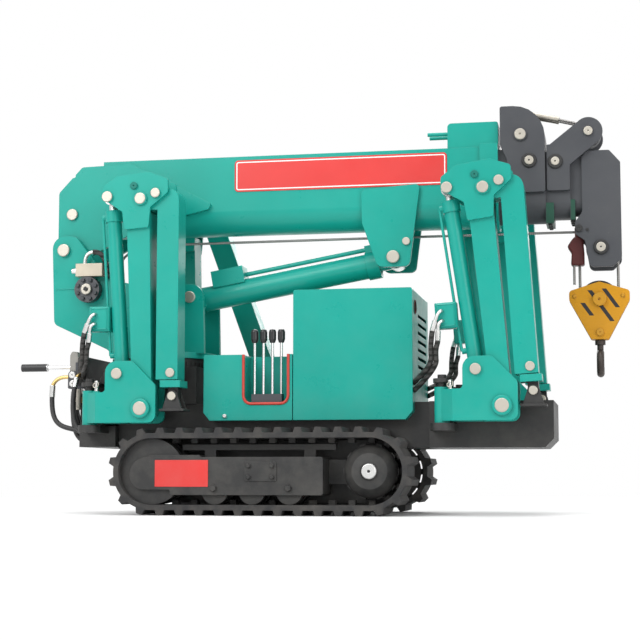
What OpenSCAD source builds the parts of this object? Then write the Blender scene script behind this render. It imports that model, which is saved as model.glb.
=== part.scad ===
// Mini crawler crane with four folding legs, parked with its boom down and its legs stowed.
// +X is forward, +Y is the left side, +Z is up. The origin is on the ground, under the middle
// of the machine's length and width. All sizes are in millimetres.

/* [Tracks] */
// Width over both tracks
machine_w = 720; // [700:1:760]
// Width of one rubber track
track_w = 180; // [160:1:185]
// Height of a track over its lugs
track_h = 298; // [286:1:306]
// Place of the rear idler's axle along the machine
idler_x = -523; // [-540:1:-510]
// Place of the drive sprocket's axle along the machine
sprocket_x = 234; // [220:1:250]
// Height of a lug
lug_h = 18; // [12:1:20]
// Thickness of the belt under the lugs
belt_t = 18; // [14:1:20]
// Lugs round one track
lug_count = 34; // [28:1:38]
// Radius of a track roller
roller_r = 46; // [40:1:50]

/* [Chassis] */
// Width of the main beam between the tracks
beam_w = 330; // [300:1:340]
// Underside of the main beam
beam_z = 230; // [215:1:250]
// Height of the main beam
beam_h = 158; // [140:1:165]
// Width of the front and rear decks that carry the legs
deck_w = 410; // [390:1:420]
// Front end of the front deck
deck_front_x = 840; // [825:1:860]
// Rear end of the rear deck
deck_rear_x = -833; // [-850:1:-825]
// Top of the tower under the slew ring
tower_top_z = 520; // [505:1:522]

/* [Legs] */
// Distance from the middle of the machine to the middle of a leg
leg_y = 292; // [290:1:294]
// Height of the pin that a leg's inner arm turns on
lift_pin_z = 365; // [358:1:375]
// Place of the rear legs' upright swing pins
rear_swing_x = -765; // [-770:1:-762]
// Place of the front legs' upright swing pins
front_swing_x = 474; // [468:1:482]
// Distance from the swing pin to the lift pin
swing_to_lift = 204; // [200:1:210]
// Depth of the inner arm, across the machine
inner_arm_d = 92; // [84:1:94]
// Depth of the outer arm, across the machine
outer_arm_d = 88; // [78:1:89]
// Thickness of the leg's side plates
leg_plate_t = 12; // [8:1:12]
// Height of the knee pin above the lift pin
knee_z = 732; // [715:1:745]
// Diameter of the leg cylinder's barrel
leg_barrel_d = 52; // [48:1:54]
// Diameter of the leg cylinder's rod
leg_rod_d = 30; // [26:1:32]
// Length of the square foot plate
foot_w = 88; // [80:1:90]
// How far the front legs lean in when stowed
front_lean = 3.7; // [0:0.1:4]
// How far the rear left leg's knee stands open
rear_left_open = 20; // [0:1:22]

/* [Turret] */
// Place of the slew axis along the machine
slew_x = -580; // [-585:1:-575]
// Radius of the slew ring
slew_r = 188; // [180:1:192]
// Height of the slew ring
slew_h = 33; // [28:1:36]
// Distance between the turret's two side plates
turret_gap = 200; // [196:1:206]
// Thickness of a turret side plate
turret_t = 20; // [14:1:22]
// Place of the boom's foot pin along the machine
boom_pin_x = -933; // [-938:1:-928]
// Height of the boom's foot pin
boom_pin_z = 957; // [952:1:962]
// Diameter of the boom's foot pin
boom_pin_d = 44; // [38:1:48]
// Place of the winch drum's axle along the machine
winch_x = -833; // [-840:1:-826]
// Height of the winch drum's axle
winch_z = 808; // [800:1:815]

/* [Boom] */
// Width of the base section
boom_w = 160; // [156:1:164]
// Top of the base section
boom_top_z = 1290; // [1285:1:1295]
// Height where the base section's round belly begins
boom_belly_z = 1090; // [1085:1:1095]
// Wall of a boom section
boom_wall = 7; // [5:1:7]
// Sliding gap round a boom section
boom_gap = 4; // [3:0.5:5]
// Thickness of the base section's side plates
boom_plate_t = 14; // [10:1:15]
// Front end of the base section
base_front_x = 654; // [648:1:656]
// Front end of the second section's head
second_front_x = 818; // [812:1:819]
// Front end of the third section's head
third_front_x = 903; // [897:1:908]
// Front end of the tip
tip_front_x = 1076; // [1068:1:1082]
// Place of the tip sheave's pin along the machine
tip_pin_x = 1005; // [1000:1:1010]
// Height of the tip sheave's pin
tip_pin_z = 924; // [918:1:930]

/* [Derrick cylinder] */
// Place of its foot pin along the machine
derrick_foot_x = -453; // [-460:1:-446]
// Height of its foot pin
derrick_foot_z = 774; // [770:1:780]
// Place of its head pin along the machine
derrick_head_x = 282; // [276:1:288]
// Height of its head pin
derrick_head_z = 904; // [900:1:910]
// Diameter of its barrel
derrick_d = 90; // [80:1:92]
// Diameter of its rod
derrick_rod_d = 56; // [48:1:58]

/* [Covers] */
// Half the width of the engine cover and the boxes beside it
cover_y = 218; // [205:1:220]
// Rear face of the engine cover
cover_rear_x = -53; // [-60:1:-46]
// Front face of the engine cover
cover_front_x = 365; // [355:1:372]
// Underside of the covers
cover_z = 326; // [322:1:332]
// Top of the engine cover
cover_top_z = 780; // [765:1:784]
// Rear face of the control box
control_rear_x = -374; // [-378:1:-366]
// Top of the control box
control_top_z = 556; // [545:1:565]
// Thickness of the cover's sheet
sheet_t = 4; // [3:0.5:6]

/* [Hook] */
// Half the width of the hook block
hook_half_w = 104; // [98:1:108]
// Height of the hook block's sheave
hook_sheave_z = 745; // [738:1:750]
// Radius of the hook block's sheave
hook_sheave_r = 68; // [60:1:70]
// Diameter of the hook's round bar
hook_bar_d = 26; // [20:1:28]

/* [Hidden] */
$fn = 48;
arc_steps = 6;
pin_gap = 0.3;
teal = [0.16, 0.62, 0.55];
dark = [0.20, 0.21, 0.23];
black = [0.07, 0.07, 0.07];
steel = [0.75, 0.76, 0.77];
yellow = [0.95, 0.68, 0.05];
pad_green = [0.05, 0.30, 0.22];

// Legs: name, swing pin's place, side (-1 right, 1 left), lean of the stowed arm, knee opening
LEGS = [
    ["rear_right", rear_swing_x, -1, 0, 0],
    ["rear_left", rear_swing_x, 1, 0, rear_left_open],
    ["front_right", front_swing_x, -1, front_lean, 0],
    ["front_left", front_swing_x, 1, front_lean, 0],
];
// Sides: name, direction
SIDES = [["right", -1], ["left", 1]];

LEG_PIECES = ["leg_seat", "swing_bracket", "inner_arm", "leg_cylinder", "leg_rod", "outer_arm",
    "leg_extension", "foot"];

// Shared shapes

// Unit vector along v
function unit(v) = v / norm(v);
// Points of the rounded corner b, of radius r, between its neighbours a and c
function fillet(a, b, c, r) = r == 0 ? [b] :
    let (u = unit(a - b),
         v = unit(c - b),
         half = acos(u * v) / 2,
         m = b + unit(u + v) * r / sin(half),
         p = b + u * r / tan(half) - m,
         q = b + v * r / tan(half) - m,
         from = atan2(p.y, p.x),
         turn = (atan2(q.y, q.x) - from + 540) % 360 - 180)
    [for (i = [0:arc_steps]) m + r * [cos(from + turn * i / arc_steps), sin(from + turn * i / arc_steps)]];
// Outline with rounded corners, from points [x, z, radius]
function soft(pts) = let (n = len(pts), at = [for (p = pts) [p[0], p[1]]])
    [for (i = [0:n - 1]) each fillet(at[(i + n - 1) % n], at[i], at[(i + 1) % n], pts[i][2])];

// An outline in x and z, thick from y0 to y1
module slab(y0, y1) {
    translate([0, y1, 0])
        rotate([90, 0, 0])
            linear_extrude(y1 - y0)
                children();
}

// The same slab on both sides of the middle, from y0 to y1 off it
module both_slabs(y0, y1) {
    slab(y0, y1) children();
    slab(-y1, -y0) children();
}

// A profile in y and z, long from x0 to x1
module bar(x0, x1) {
    translate([x0, 0, 0])
        rotate([90, 0, 90])
            linear_extrude(x1 - x0)
                children();
}

// A round pin or bore across the machine, at x and z
module cross_pin(x, z, r, y0, y1) {
    translate([x, y1, z])
        rotate([90, 0, 0])
            cylinder(r = r, h = y1 - y0);
}

// A box between two corners
module block(low, high) {
    translate(low)
        cube(high - low);
}

module flipped(on) {
    if (on)
        mirror([0, 1, 0])
            children();
    else
        children();
}

// Tracks

track_y = (machine_w - track_w) / 2;
track_r = track_h / 2;
belt_r = track_r - lug_h;
belt_in_r = belt_r - belt_t;
straight = sprocket_x - idler_x;
belt_length = 2 * straight + 2 * PI * belt_r;
lug_foot_w = 34;
lug_tip_w = 20;
guide_h = 16;
guide_w = 22;
guide_d = 36;

// Place and heading on the belt's outline, at a distance s along it
function on_belt(s) =
    s < straight ? [[idler_x + s, track_r + belt_r], 0] :
    s < straight + PI * belt_r ?
        let (a = 90 - (s - straight) / belt_r * 180 / PI)
        [[sprocket_x, track_r] + belt_r * [cos(a), sin(a)], a - 90] :
    s < 2 * straight + PI * belt_r ?
        [[sprocket_x - (s - straight - PI * belt_r), track_r - belt_r], 180] :
        let (a = 270 - (s - 2 * straight - PI * belt_r) / belt_r * 180 / PI)
        [[idler_x, track_r] + belt_r * [cos(a), sin(a)], a - 90];

module stadium(r) {
    for (x = [idler_x, sprocket_x])
        translate([x, track_r])
            circle(r);
    translate([idler_x, track_r - r])
        square([straight, 2 * r]);
}

module belt_loop() {
    difference() {
        stadium(belt_r);
        stadium(belt_in_r);
    }
}

module track(side) {
    sunk = 2;
    color(black)
        translate([0, side * track_y, 0]) {
            slab(-track_w / 2, track_w / 2) {
                belt_loop();
                for (i = [0:lug_count - 1]) {
                    at = on_belt((i + 0.5) * belt_length / lug_count);
                    translate(at[0])
                        rotate(at[1])
                            polygon([[-lug_foot_w / 2, -sunk], [lug_foot_w / 2, -sunk],
                                     [lug_tip_w / 2, lug_h], [-lug_tip_w / 2, lug_h]]);
                }
            }
            slab(-guide_d / 2, guide_d / 2)
                for (i = [0:lug_count - 1]) {
                    at = on_belt(i * belt_length / lug_count);
                    translate(at[0])
                        rotate(at[1])
                            translate([-guide_w / 2, -belt_t - guide_h])
                                square([guide_w, guide_h + sunk]);
                }
        }
}

frame_top_z = 198;
frame_low_z = 69;
frame_rear_x = -600;
frame_front_x = 77;
frame_out = 78;
frame_in = 76;
hub_r = 90;
hub_boss_r = 28;
rail_low_z = 222;
rail_d = 24;
wheel_r = belt_in_r - guide_h - 2;
wheel_d = 64;
seat_gap = 0.3;
wheel_in = 30;
wheel_out = 62;
ROLLERS = [-301, -171, -41];

module track_frame(side) {
    color(dark)
        translate([0, side * track_y, 0])
            flipped(side > 0) {
                // box beam, its rear end rounded over the idler and its underside stepped
                slab(-frame_out, frame_in)
                    polygon(soft([[frame_rear_x, frame_top_z, 60], [frame_front_x, frame_top_z, 8],
                        [frame_front_x, frame_low_z, 8], [-455, frame_low_z, 6],
                        [-455, frame_low_z + 18, 6], [frame_rear_x, frame_low_z + 18, 50]]));
                // plate on top over the idler and a bolted cover plate
                slab(-frame_out + 2, frame_in - 2)
                    polygon([[-535, frame_top_z - 1], [-345, frame_top_z - 1], [-352, frame_top_z + 7],
                        [-528, frame_top_z + 7]]);
                slab(-frame_out - 4, -frame_out + 1)
                    polygon(soft([[-193, 182, 6], [-82, 182, 6], [-82, 116, 6], [-193, 116, 6]]));
                // slide rail under the belt's upper run, on two posts
                block([-430, -rail_d / 2, rail_low_z], [110, rail_d / 2, track_r + belt_in_r - guide_h - 4]);
                for (x = [-330, 20])
                    block([x - 20, -rail_d / 2, frame_top_z - 5], [x + 20, rail_d / 2, rail_low_z + 5]);
                // rollers on the lower run
                for (x = ROLLERS)
                    for (y = [-wheel_out, wheel_in])
                        cross_pin(x, track_r - belt_in_r + roller_r + seat_gap, roller_r,
                            y, y + wheel_out - wheel_in);
                // idler wheel behind the beam's rounded end
                for (y = [-wheel_out, wheel_in])
                    cross_pin(idler_x, track_r, belt_in_r - seat_gap, y, y + wheel_out - wheel_in);
                cross_pin(idler_x, track_r, 40, -wheel_out, wheel_out);
                // drive sprocket and its motor's dished cover
                slab(-wheel_d / 2, wheel_d / 2)
                    translate([sprocket_x, track_r])
                        for (i = [0:4])
                            rotate(i * 36)
                                square([2 * wheel_r, 20], center = true);
                cross_pin(sprocket_x, track_r, wheel_r - 10, -wheel_d / 2, wheel_d / 2);
                translate([sprocket_x, -wheel_d / 2 + 1, track_r])
                    rotate([90, 0, 0])
                        rotate_extrude()
                            polygon([[0, 0], [hub_r, 0], [hub_r, 12], [hub_r - 6, 20], [60, 42],
                                [hub_boss_r + 4, 46], [hub_boss_r, 50], [hub_boss_r - 6, 52], [0, 52]]);
                cross_pin(sprocket_x, track_r, 62, -wheel_d / 2, 100);
                // the beam's arm to the drive motor
                block([frame_front_x - 20, 40, 105], [sprocket_x, 76, 190]);
            }
}

// Chassis

beam_top_z = beam_z + beam_h;
beam_rear_x = -700;
beam_front_x = 420;
pin_seat_z = lift_pin_z - 55;
pin_seat_t = 26;
ear_low_z = lift_pin_z + 80;
ear_t = 14;
swing_pin_r = 15;
ear_r = 30;
ear_wall_y = 224;
cross_tube_r = 45;
tower_y = 175;

module chassis() {
    color(dark)
        difference() {
            union() {
                block([beam_rear_x, -beam_w / 2, beam_z], [beam_front_x, beam_w / 2, beam_top_z]);
                // front deck with a sloped nose
                slab(-deck_w / 2, deck_w / 2)
                    polygon([[beam_front_x - 1, beam_z], [deck_front_x - 30, beam_z],
                        [deck_front_x, beam_z + 30], [deck_front_x, beam_top_z],
                        [beam_front_x - 1, beam_top_z]]);
                // rear deck
                block([deck_rear_x, -deck_w / 2, beam_z + 6], [beam_rear_x + 1, deck_w / 2, pin_seat_z]);
                // tower under the slew ring
                slab(-tower_y, tower_y)
                    polygon([[slew_x - slew_r, beam_top_z - 1], [slew_x + slew_r - 20, beam_top_z - 1],
                        [slew_x + slew_r - 20, tower_top_z], [slew_x - slew_r + 20, tower_top_z],
                        [slew_x - slew_r, tower_top_z - 40]]);
                // cross tubes to the track frames
                for (x = [-330, 20])
                    cross_pin(x, 150, cross_tube_r, -track_y + frame_in, track_y - frame_in);
                for (x = [-330, 20])
                    block([x - 45, -120, 150], [x + 45, 120, beam_z + 1]);
                // standing plate behind the tower for the rear valves
                block([deck_rear_x, -150, pin_seat_z - 1], [deck_rear_x + 10, 150, tower_top_z + 40]);
                for (y = [-145, 135])
                    block([deck_rear_x + 5, y, pin_seat_z - 1], [slew_x - slew_r + 10, y + 10, beam_top_z + 60]);
            }
            // tie-down holes through the nose
            for (y = [-140, 140])
                translate([deck_front_x - 60, y, beam_z - 1])
                    cylinder(r = 16, h = beam_h + 2);
        }
}

// Seat, upright pin and upper ear of one leg, welded to the deck's side
module leg_seat(x, side) {
    color(dark)
        flipped(side > 0) {
            // lower seat, from the deck out to the pin
            block([x - 40, -leg_y - 10, pin_seat_z - pin_seat_t], [x + 40, -deck_w / 2, pin_seat_z]);
            translate([x, -leg_y, pin_seat_z - pin_seat_t])
                cylinder(r = 40, h = pin_seat_t);
            // wall and upper ear
            block([x - ear_r, -ear_wall_y, pin_seat_z - pin_seat_t], [x + ear_r, -deck_w / 2, ear_low_z + ear_t]);
            block([x - ear_r, -leg_y, ear_low_z], [x + ear_r, -deck_w / 2, ear_low_z + ear_t]);
            translate([x, -leg_y, ear_low_z])
                cylinder(r = ear_r, h = ear_t);
            // the pin with its cap
            translate([x, -leg_y, pin_seat_z - 1])
                cylinder(r = swing_pin_r, h = ear_low_z + ear_t + 14 - pin_seat_z);
        }
}

// Slew ring and turret

ring_top_z = tower_top_z + slew_h;
turret_base_t = 22;
turret_in = turret_gap / 2;
turret_out = turret_in + turret_t;
base_top_z = ring_top_z + turret_base_t;
derrick_lug_r = 48;
derrick_pin_r = 20;

module slew_ring() {
    teeth = 60;
    color(dark)
        translate([slew_x, 0, tower_top_z])
            difference() {
                union() {
                    cylinder(r = slew_r - 6, h = slew_h);
                    linear_extrude(slew_h * 0.6)
                        for (i = [0:teeth / 2 - 1])
                            rotate(i * 360 / teeth)
                                square([2 * slew_r, 9], center = true);
                }
                translate([0, 0, -1])
                    cylinder(r = slew_r - 50, h = slew_h + 2);
            }
}

module turret() {
    color(teal) {
        difference() {
            translate([slew_x, 0, ring_top_z])
                cylinder(r = slew_r + 4, h = turret_base_t);
            translate([slew_x, 0, ring_top_z - 1])
                cylinder(r = 60, h = turret_base_t + 2);
        }
        both_slabs(turret_in, turret_out) {
            polygon(soft([[-980, 1010, 45], [-890, 1010, 40], [-770, 850, 90], [-560, 800, 60],
                [-470, 822, 0], [derrick_foot_x, derrick_foot_z + derrick_lug_r, 0],
                [derrick_foot_x + derrick_lug_r, derrick_foot_z, 0], [-400, base_top_z - 5, 0],
                [-740, base_top_z - 5, 20], [-765, 591, 30], [-968, 686, 25]]));
            translate([derrick_foot_x, derrick_foot_z])
                circle(derrick_lug_r);
        }
        // cross webs between the plates
        block([-700, -turret_in - 1, base_top_z - 1], [-685, turret_in + 1, 760]);
        block([-962, -turret_in - 1, 690], [-948, turret_in + 1, 790]);
        // stiffening feet outside the plates
        both_slabs(turret_out, turret_out + 40)
            polygon([[-520, base_top_z - 1], [-505, base_top_z - 1], [-505, base_top_z + 90],
                [-520, base_top_z + 90]]);
    }
    color(steel) {
        cross_pin(boom_pin_x, boom_pin_z, boom_pin_d / 2, -turret_out - 10, turret_out + 10);
        cross_pin(derrick_foot_x, derrick_foot_z, derrick_pin_r, -turret_out - 10, turret_out + 10);
    }
}

module winch() {
    drum_r = 45;
    flange_r = 76;
    drum_y = 78;
    color(dark) {
        cross_pin(winch_x, winch_z, drum_r, -drum_y, drum_y);
        for (y = [-drum_y - 10, drum_y])
            cross_pin(winch_x, winch_z, flange_r, y, y + 10);
        // gear case on the right plate, motor on the left
        cross_pin(winch_x, winch_z, 47, -turret_out - 34, -turret_out);
        cross_pin(winch_x, winch_z, 20, -turret_in, -drum_y);
        cross_pin(winch_x, winch_z, 20, drum_y, turret_in);
        cross_pin(winch_x, winch_z, 40, turret_out, turret_out + 60);
    }
    color(steel) {
        cross_pin(winch_x, winch_z, 16, -turret_out - 40, -turret_out - 33);
        // brake valve over the gear case
        block([winch_x - 42, -turret_out - 38, winch_z + 48], [winch_x + 58, -turret_out, winch_z + 94]);
    }
}

// Covers, engine and controls

module engine_cover() {
    color(teal)
        difference() {
            slab(-cover_y, cover_y)
                polygon(soft([[cover_rear_x, cover_z, 0], [cover_front_x - 26, cover_z, 0],
                    [cover_front_x, cover_z + 30, 0], [cover_front_x, cover_top_z, 8],
                    [cover_rear_x, cover_top_z, 8]]));
            slab(-cover_y + sheet_t, cover_y - sheet_t)
                polygon([[cover_rear_x + sheet_t, cover_z - 1], [cover_front_x - 28, cover_z - 1],
                    [cover_front_x - sheet_t, cover_z + 31], [cover_front_x - sheet_t, cover_top_z - sheet_t],
                    [cover_rear_x + sheet_t, cover_top_z - sheet_t]]);
            // exhaust opening in the front face
            translate([cover_front_x - sheet_t - 1, -cover_y + 70, cover_top_z - 62])
                rotate([0, 90, 0])
                    cylinder(r = 22, h = sheet_t + 2);
            // the end walls stand on the main beam
            block([cover_rear_x - 1, -beam_w / 2, cover_z - 1], [cover_front_x + 1, beam_w / 2, beam_top_z]);
            // cooling slots in the front face
            for (i = [0:7])
                block([cover_front_x - sheet_t - 1, -70, cover_top_z - 300 + i * 30],
                    [cover_front_x + 1, 170, cover_top_z - 288 + i * 30]);
        }
}

module engine_block() {
    color(dark)
        block([cover_rear_x + 60, -150, beam_top_z], [cover_front_x - 70, 150, cover_top_z - 90]);
}

recess_x0 = -230;
recess_x1 = -70;
recess_z = 384;
recess_d = 112;
recess_r = 26;
box_gap = 3;

box_in_y = 20;

// Box beside the main beam and over its top, its lower rear corner cut off
module side_box() {
    slab(-cover_y, -beam_w / 2)
        polygon(soft([[control_rear_x, cover_z + 28, 0], [control_rear_x + 22, cover_z, 0],
            [cover_rear_x - box_gap, cover_z, 0], [cover_rear_x - box_gap, control_top_z, 0],
            [control_rear_x, control_top_z, 6]]));
    slab(-beam_w / 2 - 1, -box_in_y)
        polygon(soft([[control_rear_x, beam_top_z, 0], [cover_rear_x - box_gap, beam_top_z, 0],
            [cover_rear_x - box_gap, control_top_z, 0], [control_rear_x, control_top_z, 6]]));
}

module control_box() {
    color(teal)
        difference() {
            side_box();
            slab(-cover_y - 1, -cover_y + recess_d)
                polygon(soft([[recess_x0, recess_z, recess_r], [recess_x1, recess_z, recess_r],
                    [recess_x1, control_top_z + 1, 0], [recess_x0, control_top_z + 1, 0]]));
        }
}

module oil_tank() {
    color(teal) {
        flipped(true)
            side_box();
        translate([control_rear_x + 70, cover_y - 30, control_top_z - 1])
            cylinder(r = 22, h = 26);
    }
}

lever_pitch = 32;
lever_y = -cover_y + 34;
lever_x = -150;

module control_levers() {
    color(dark)
        block([recess_x0 + recess_r, lever_y - 22, recess_z], [recess_x1 - recess_r, lever_y + 14, recess_z + 34]);
    for (i = [-1.5:1.5]) {
        color(steel)
            translate([lever_x + i * lever_pitch, lever_y, recess_z + 33])
                cylinder(r = 5, h = 190);
        color(black)
            translate([lever_x + i * lever_pitch, lever_y, recess_z + 215])
                rotate_extrude()
                    polygon([[0, 0], [9, 0], [13, 12], [13, 38], [10, 46], [0, 49]]);
    }
}

manifold_z = 420;
manifold_top_z = 545;

module rear_manifold() {
    color(dark)
        block([deck_rear_x - 50, -120, manifold_z], [deck_rear_x, 20, manifold_top_z]);
    color("goldenrod")
        for (i = [0:3])
            translate([deck_rear_x - 25, -104 + i * 36, manifold_z - 22])
                cylinder(r = 11, h = 23);
}

handle_tip_x = -(tip_pin_x - 9 + hook_half_w);
handle_y = -90;

module hand_lever() {
    color(steel)
        translate([deck_rear_x - 50, handle_y, manifold_top_z - 16])
            rotate([0, -90, 0])
                cylinder(r = 7, h = -handle_tip_x + deck_rear_x - 50 - 90);
    color(black)
        translate([handle_tip_x + 100, handle_y, manifold_top_z - 16])
            rotate([0, -90, 0])
                cylinder(r = 14, h = 100);
}

hose_r = 9;
// Hose loops under the valves: place across, height of the turn, radius of the turn
HOSES = [[-104 + 54, 330, 54], [-104 + 54, 360, 18]];

module rear_hoses() {
    color(black)
        for (h = HOSES)
            translate([deck_rear_x - 25, h[0], h[1]])
                rotate([0, 0, 90]) {
                    rotate([90, 0, 0])
                        rotate([0, 0, 180])
                            rotate_extrude(angle = 180)
                                translate([h[2], 0])
                                    circle(hose_r, $fn = 24);
                    for (s = [-1, 1])
                        translate([s * h[2], 0, 0])
                            cylinder(r = hose_r, h = manifold_z - 22 - h[1], $fn = 24);
                }
}

// Boom

boom_r = boom_w / 2;
boom_step = boom_wall + boom_gap;
// Boom sections by number, the base being 0: half the width of each
function section_r(i) = boom_r - i * boom_step;
function section_top(i) = boom_top_z - i * boom_step;
foot_plate_y = boom_r + boom_plate_t;

// Upright box profile with a round belly, drawn in y and z
module belly_profile(r, top) {
    translate([0, boom_belly_z])
        circle(r);
    translate([-r, boom_belly_z])
        square([2 * r, top - boom_belly_z]);
}

// Tube of section i
module section_tube(i, x0, x1) {
    bar(x0, x1)
        difference() {
            belly_profile(section_r(i), section_top(i));
            belly_profile(section_r(i) - boom_wall, section_top(i) - boom_wall);
        }
}

// Wear ring at the front end of section i, which the next section slides on
module wear_ring(i, x1) {
    bar(x1 - 50, x1)
        difference() {
            belly_profile(section_r(i) - boom_wall + 1, section_top(i) - boom_wall + 1);
            belly_profile(section_r(i + 1) + seat_gap, section_top(i + 1) + seat_gap);
        }
}

// The hollow that the next section slides in
module section_hollow(i, x0, x1) {
    bar(x0, x1)
        belly_profile(section_r(i) - boom_wall, section_top(i) - boom_wall);
}

tube_rear = [-800, -700, -640, -580];
second_top_z = 1431;
pad_h = 72;
pad_t = [0, 28, 16];

// Slide pad under the front end of section i, shaped round the next section
module slide_pad(i, x) {
    pad_y = section_r(i) - 1;
    low_z = boom_belly_z - section_r(i) - 8;
    bar(x - 1, x + pad_t[i])
        difference() {
            translate([-pad_y, low_z])
                square([2 * pad_y, pad_h]);
            belly_profile(section_r(i + 1) + 1.5, section_top(i + 1) + 1.5);
        }
}

module boom_base() {
    color(teal)
        difference() {
            union() {
                section_tube(0, tube_rear[0], base_front_x);
                wear_ring(0, base_front_x);
                both_slabs(boom_r, foot_plate_y) {
                    polygon(soft([[-967, 1177, 20], [-878, 1271, 20], [-690, 1276, 15], [-385, 1118, 10],
                        [-395, 1098, 8], [-640, 1040, 30], [-860, boom_pin_z - 30, 20],
                        [boom_pin_x, boom_pin_z - 44, 0], [-967, 930, 10]]));
                    translate([boom_pin_x, boom_pin_z])
                        circle(44);
                }
                // brackets for the derrick cylinder's head
                both_slabs(boom_r, foot_plate_y) {
                    polygon(soft([[167, 1150, 18], [379, 1164, 14], [340, 870, 22], [226, 870, 30],
                        [170, 1030, 20]]));
                }
                // collar round the front end
                bar(base_front_x - 64, base_front_x)
                    difference() {
                        belly_profile(boom_r + 12, boom_top_z + 10);
                        belly_profile(boom_r - 1, boom_top_z - 1);
                    }
                // rope housing on top of the front end
                slab(-60, 60)
                    polygon(soft([[474, boom_top_z - 2, 0], [base_front_x, boom_top_z - 2, 0],
                        [base_front_x, 1384, 8], [474, 1384, 14]]));
                for (y = [-30, 30])
                    translate([400, y, 1352])
                        rotate([0, 90, 0])
                            cylinder(r = 7, h = 76);
            }
            cross_pin(boom_pin_x, boom_pin_z, boom_pin_d / 2 + pin_gap, -foot_plate_y - 1, foot_plate_y + 1);
            cross_pin(-912, 1240, 8, -foot_plate_y - 1, foot_plate_y + 1);
        }
    color(steel)
        for (s = [-1, 1]) {
            cross_pin(-913, 1094, 20, s * foot_plate_y - 6, s * foot_plate_y + 6);
            cross_pin(derrick_head_x, derrick_head_z, 22, s * foot_plate_y - 6, s * foot_plate_y + 8);
            cross_pin(329, 959, 13, s * foot_plate_y - 6, s * foot_plate_y + 6);
        }
}

module boom_second() {
    head_y = section_r(1) + 16;
    head_rear_x = base_front_x + 8;
    color(dark)
        difference() {
            union() {
                section_tube(1, tube_rear[1], second_front_x);
                slab(-head_y, head_y)
                    polygon(soft([[head_rear_x, second_top_z, 8], [second_front_x, second_top_z, 110],
                        [second_front_x, 1122, 8], [head_rear_x + 24, 1122, 8],
                        [head_rear_x + 24, 1238, 6], [head_rear_x, 1295, 6]]));
            }
            section_hollow(1, tube_rear[1] - 1, second_front_x + 1);
        }
    color(dark)
        wear_ring(1, second_front_x);
    color(pad_green)
        slide_pad(1, second_front_x);
    color(steel)
        for (s = [-1, 1]) {
            cross_pin(733, 1328, 24, s * head_y - 6, s * head_y + 7);
            cross_pin(763, 1234, 20, s * head_y - 6, s * head_y + 7);
        }
}

module boom_third() {
    head_y = section_r(2) + 18;
    arm_in = head_y - 10;
    head_rear_x = second_front_x + 5;
    sheave_x = 968;
    sheave_z = 1332;
    sheave_r = 50;
    color(dark) {
        difference() {
            union() {
                section_tube(2, tube_rear[2], third_front_x);
                slab(-head_y, head_y)
                    polygon(soft([[head_rear_x, 1290, 6], [third_front_x, 1290, 6], [third_front_x, 1126, 8],
                        [head_rear_x, 1126, 8]]));
            }
            section_hollow(2, tube_rear[2] - 1, third_front_x + 1);
        }
        wear_ring(2, third_front_x);
        both_slabs(arm_in, head_y) {
            polygon([[head_rear_x + 4, 1284], [sheave_x - 0.5 * sheave_r, sheave_z + 0.866 * sheave_r],
                [sheave_x + 0.5 * sheave_r, sheave_z - 0.866 * sheave_r], [third_front_x - 1, 1215]]);
            translate([sheave_x, sheave_z])
                circle(sheave_r);
        }
        cross_pin(sheave_x, sheave_z, sheave_r - 6, -18, 18);
        cross_pin(sheave_x, sheave_z, 14, -head_y - 6, head_y + 6);
    }
    color(pad_green)
        slide_pad(2, third_front_x);
    color(steel)
        for (s = [-1, 1])
            cross_pin(853, 1229, 18, s * head_y - 6, s * head_y + 7);
}

module boom_tip() {
    plate_t = 14;
    rear_x = third_front_x + 14;
    color(dark) {
        section_tube(3, tube_rear[3], tip_pin_x - 40);
        both_slabs(section_r(3) - 1, section_r(3) + plate_t)
            polygon(soft([[943, 1244, 6], [964, 1266, 6], [tip_front_x - 38, 1266, 10], [tip_front_x, 1222, 10],
                [tip_front_x, 884, 24], [1045, 856, 14], [966, 856, 20], [950, 950, 14],
                [rear_x, 972, 20], [rear_x, 1014, 20], [943, 1050, 20]]));
        // closing plate over the front and the sheave on its pin
        block([tip_front_x - 34, -section_r(3), 1050], [tip_front_x - 20, section_r(3), 1235]);
        block([tip_pin_x - 41, -section_r(3), 1234], [tip_front_x - 40, section_r(3), 1248]);
        cross_pin(tip_pin_x, tip_pin_z, tip_sheave_r, -14, 14);
        cross_pin(tip_pin_x, tip_pin_z, 16, -section_r(3) - plate_t - 8, section_r(3) + plate_t + 8);
        // wedge socket for the rope's dead end, hung on its pin
        slab(-20, 20)
            polygon(soft([[914, 1006, 10], [946, 1006, 10], [944, 884, 6], [918, 884, 6]]));
        cross_pin(930, 992, 10, -section_r(3) - plate_t - 6, section_r(3) + plate_t + 6);
    }
}

// Derrick cylinder, on the line between its two pins

derrick_dx = derrick_head_x - derrick_foot_x;
derrick_dz = derrick_head_z - derrick_foot_z;
derrick_l = norm([derrick_dx, derrick_dz]);
derrick_tilt = atan2(derrick_dx, derrick_dz);
derrick_gland = 46;
derrick_eye_r = 34;

module on_derrick() {
    translate([derrick_foot_x, 0, derrick_foot_z])
        rotate([0, derrick_tilt, 0])
            children();
}

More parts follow.
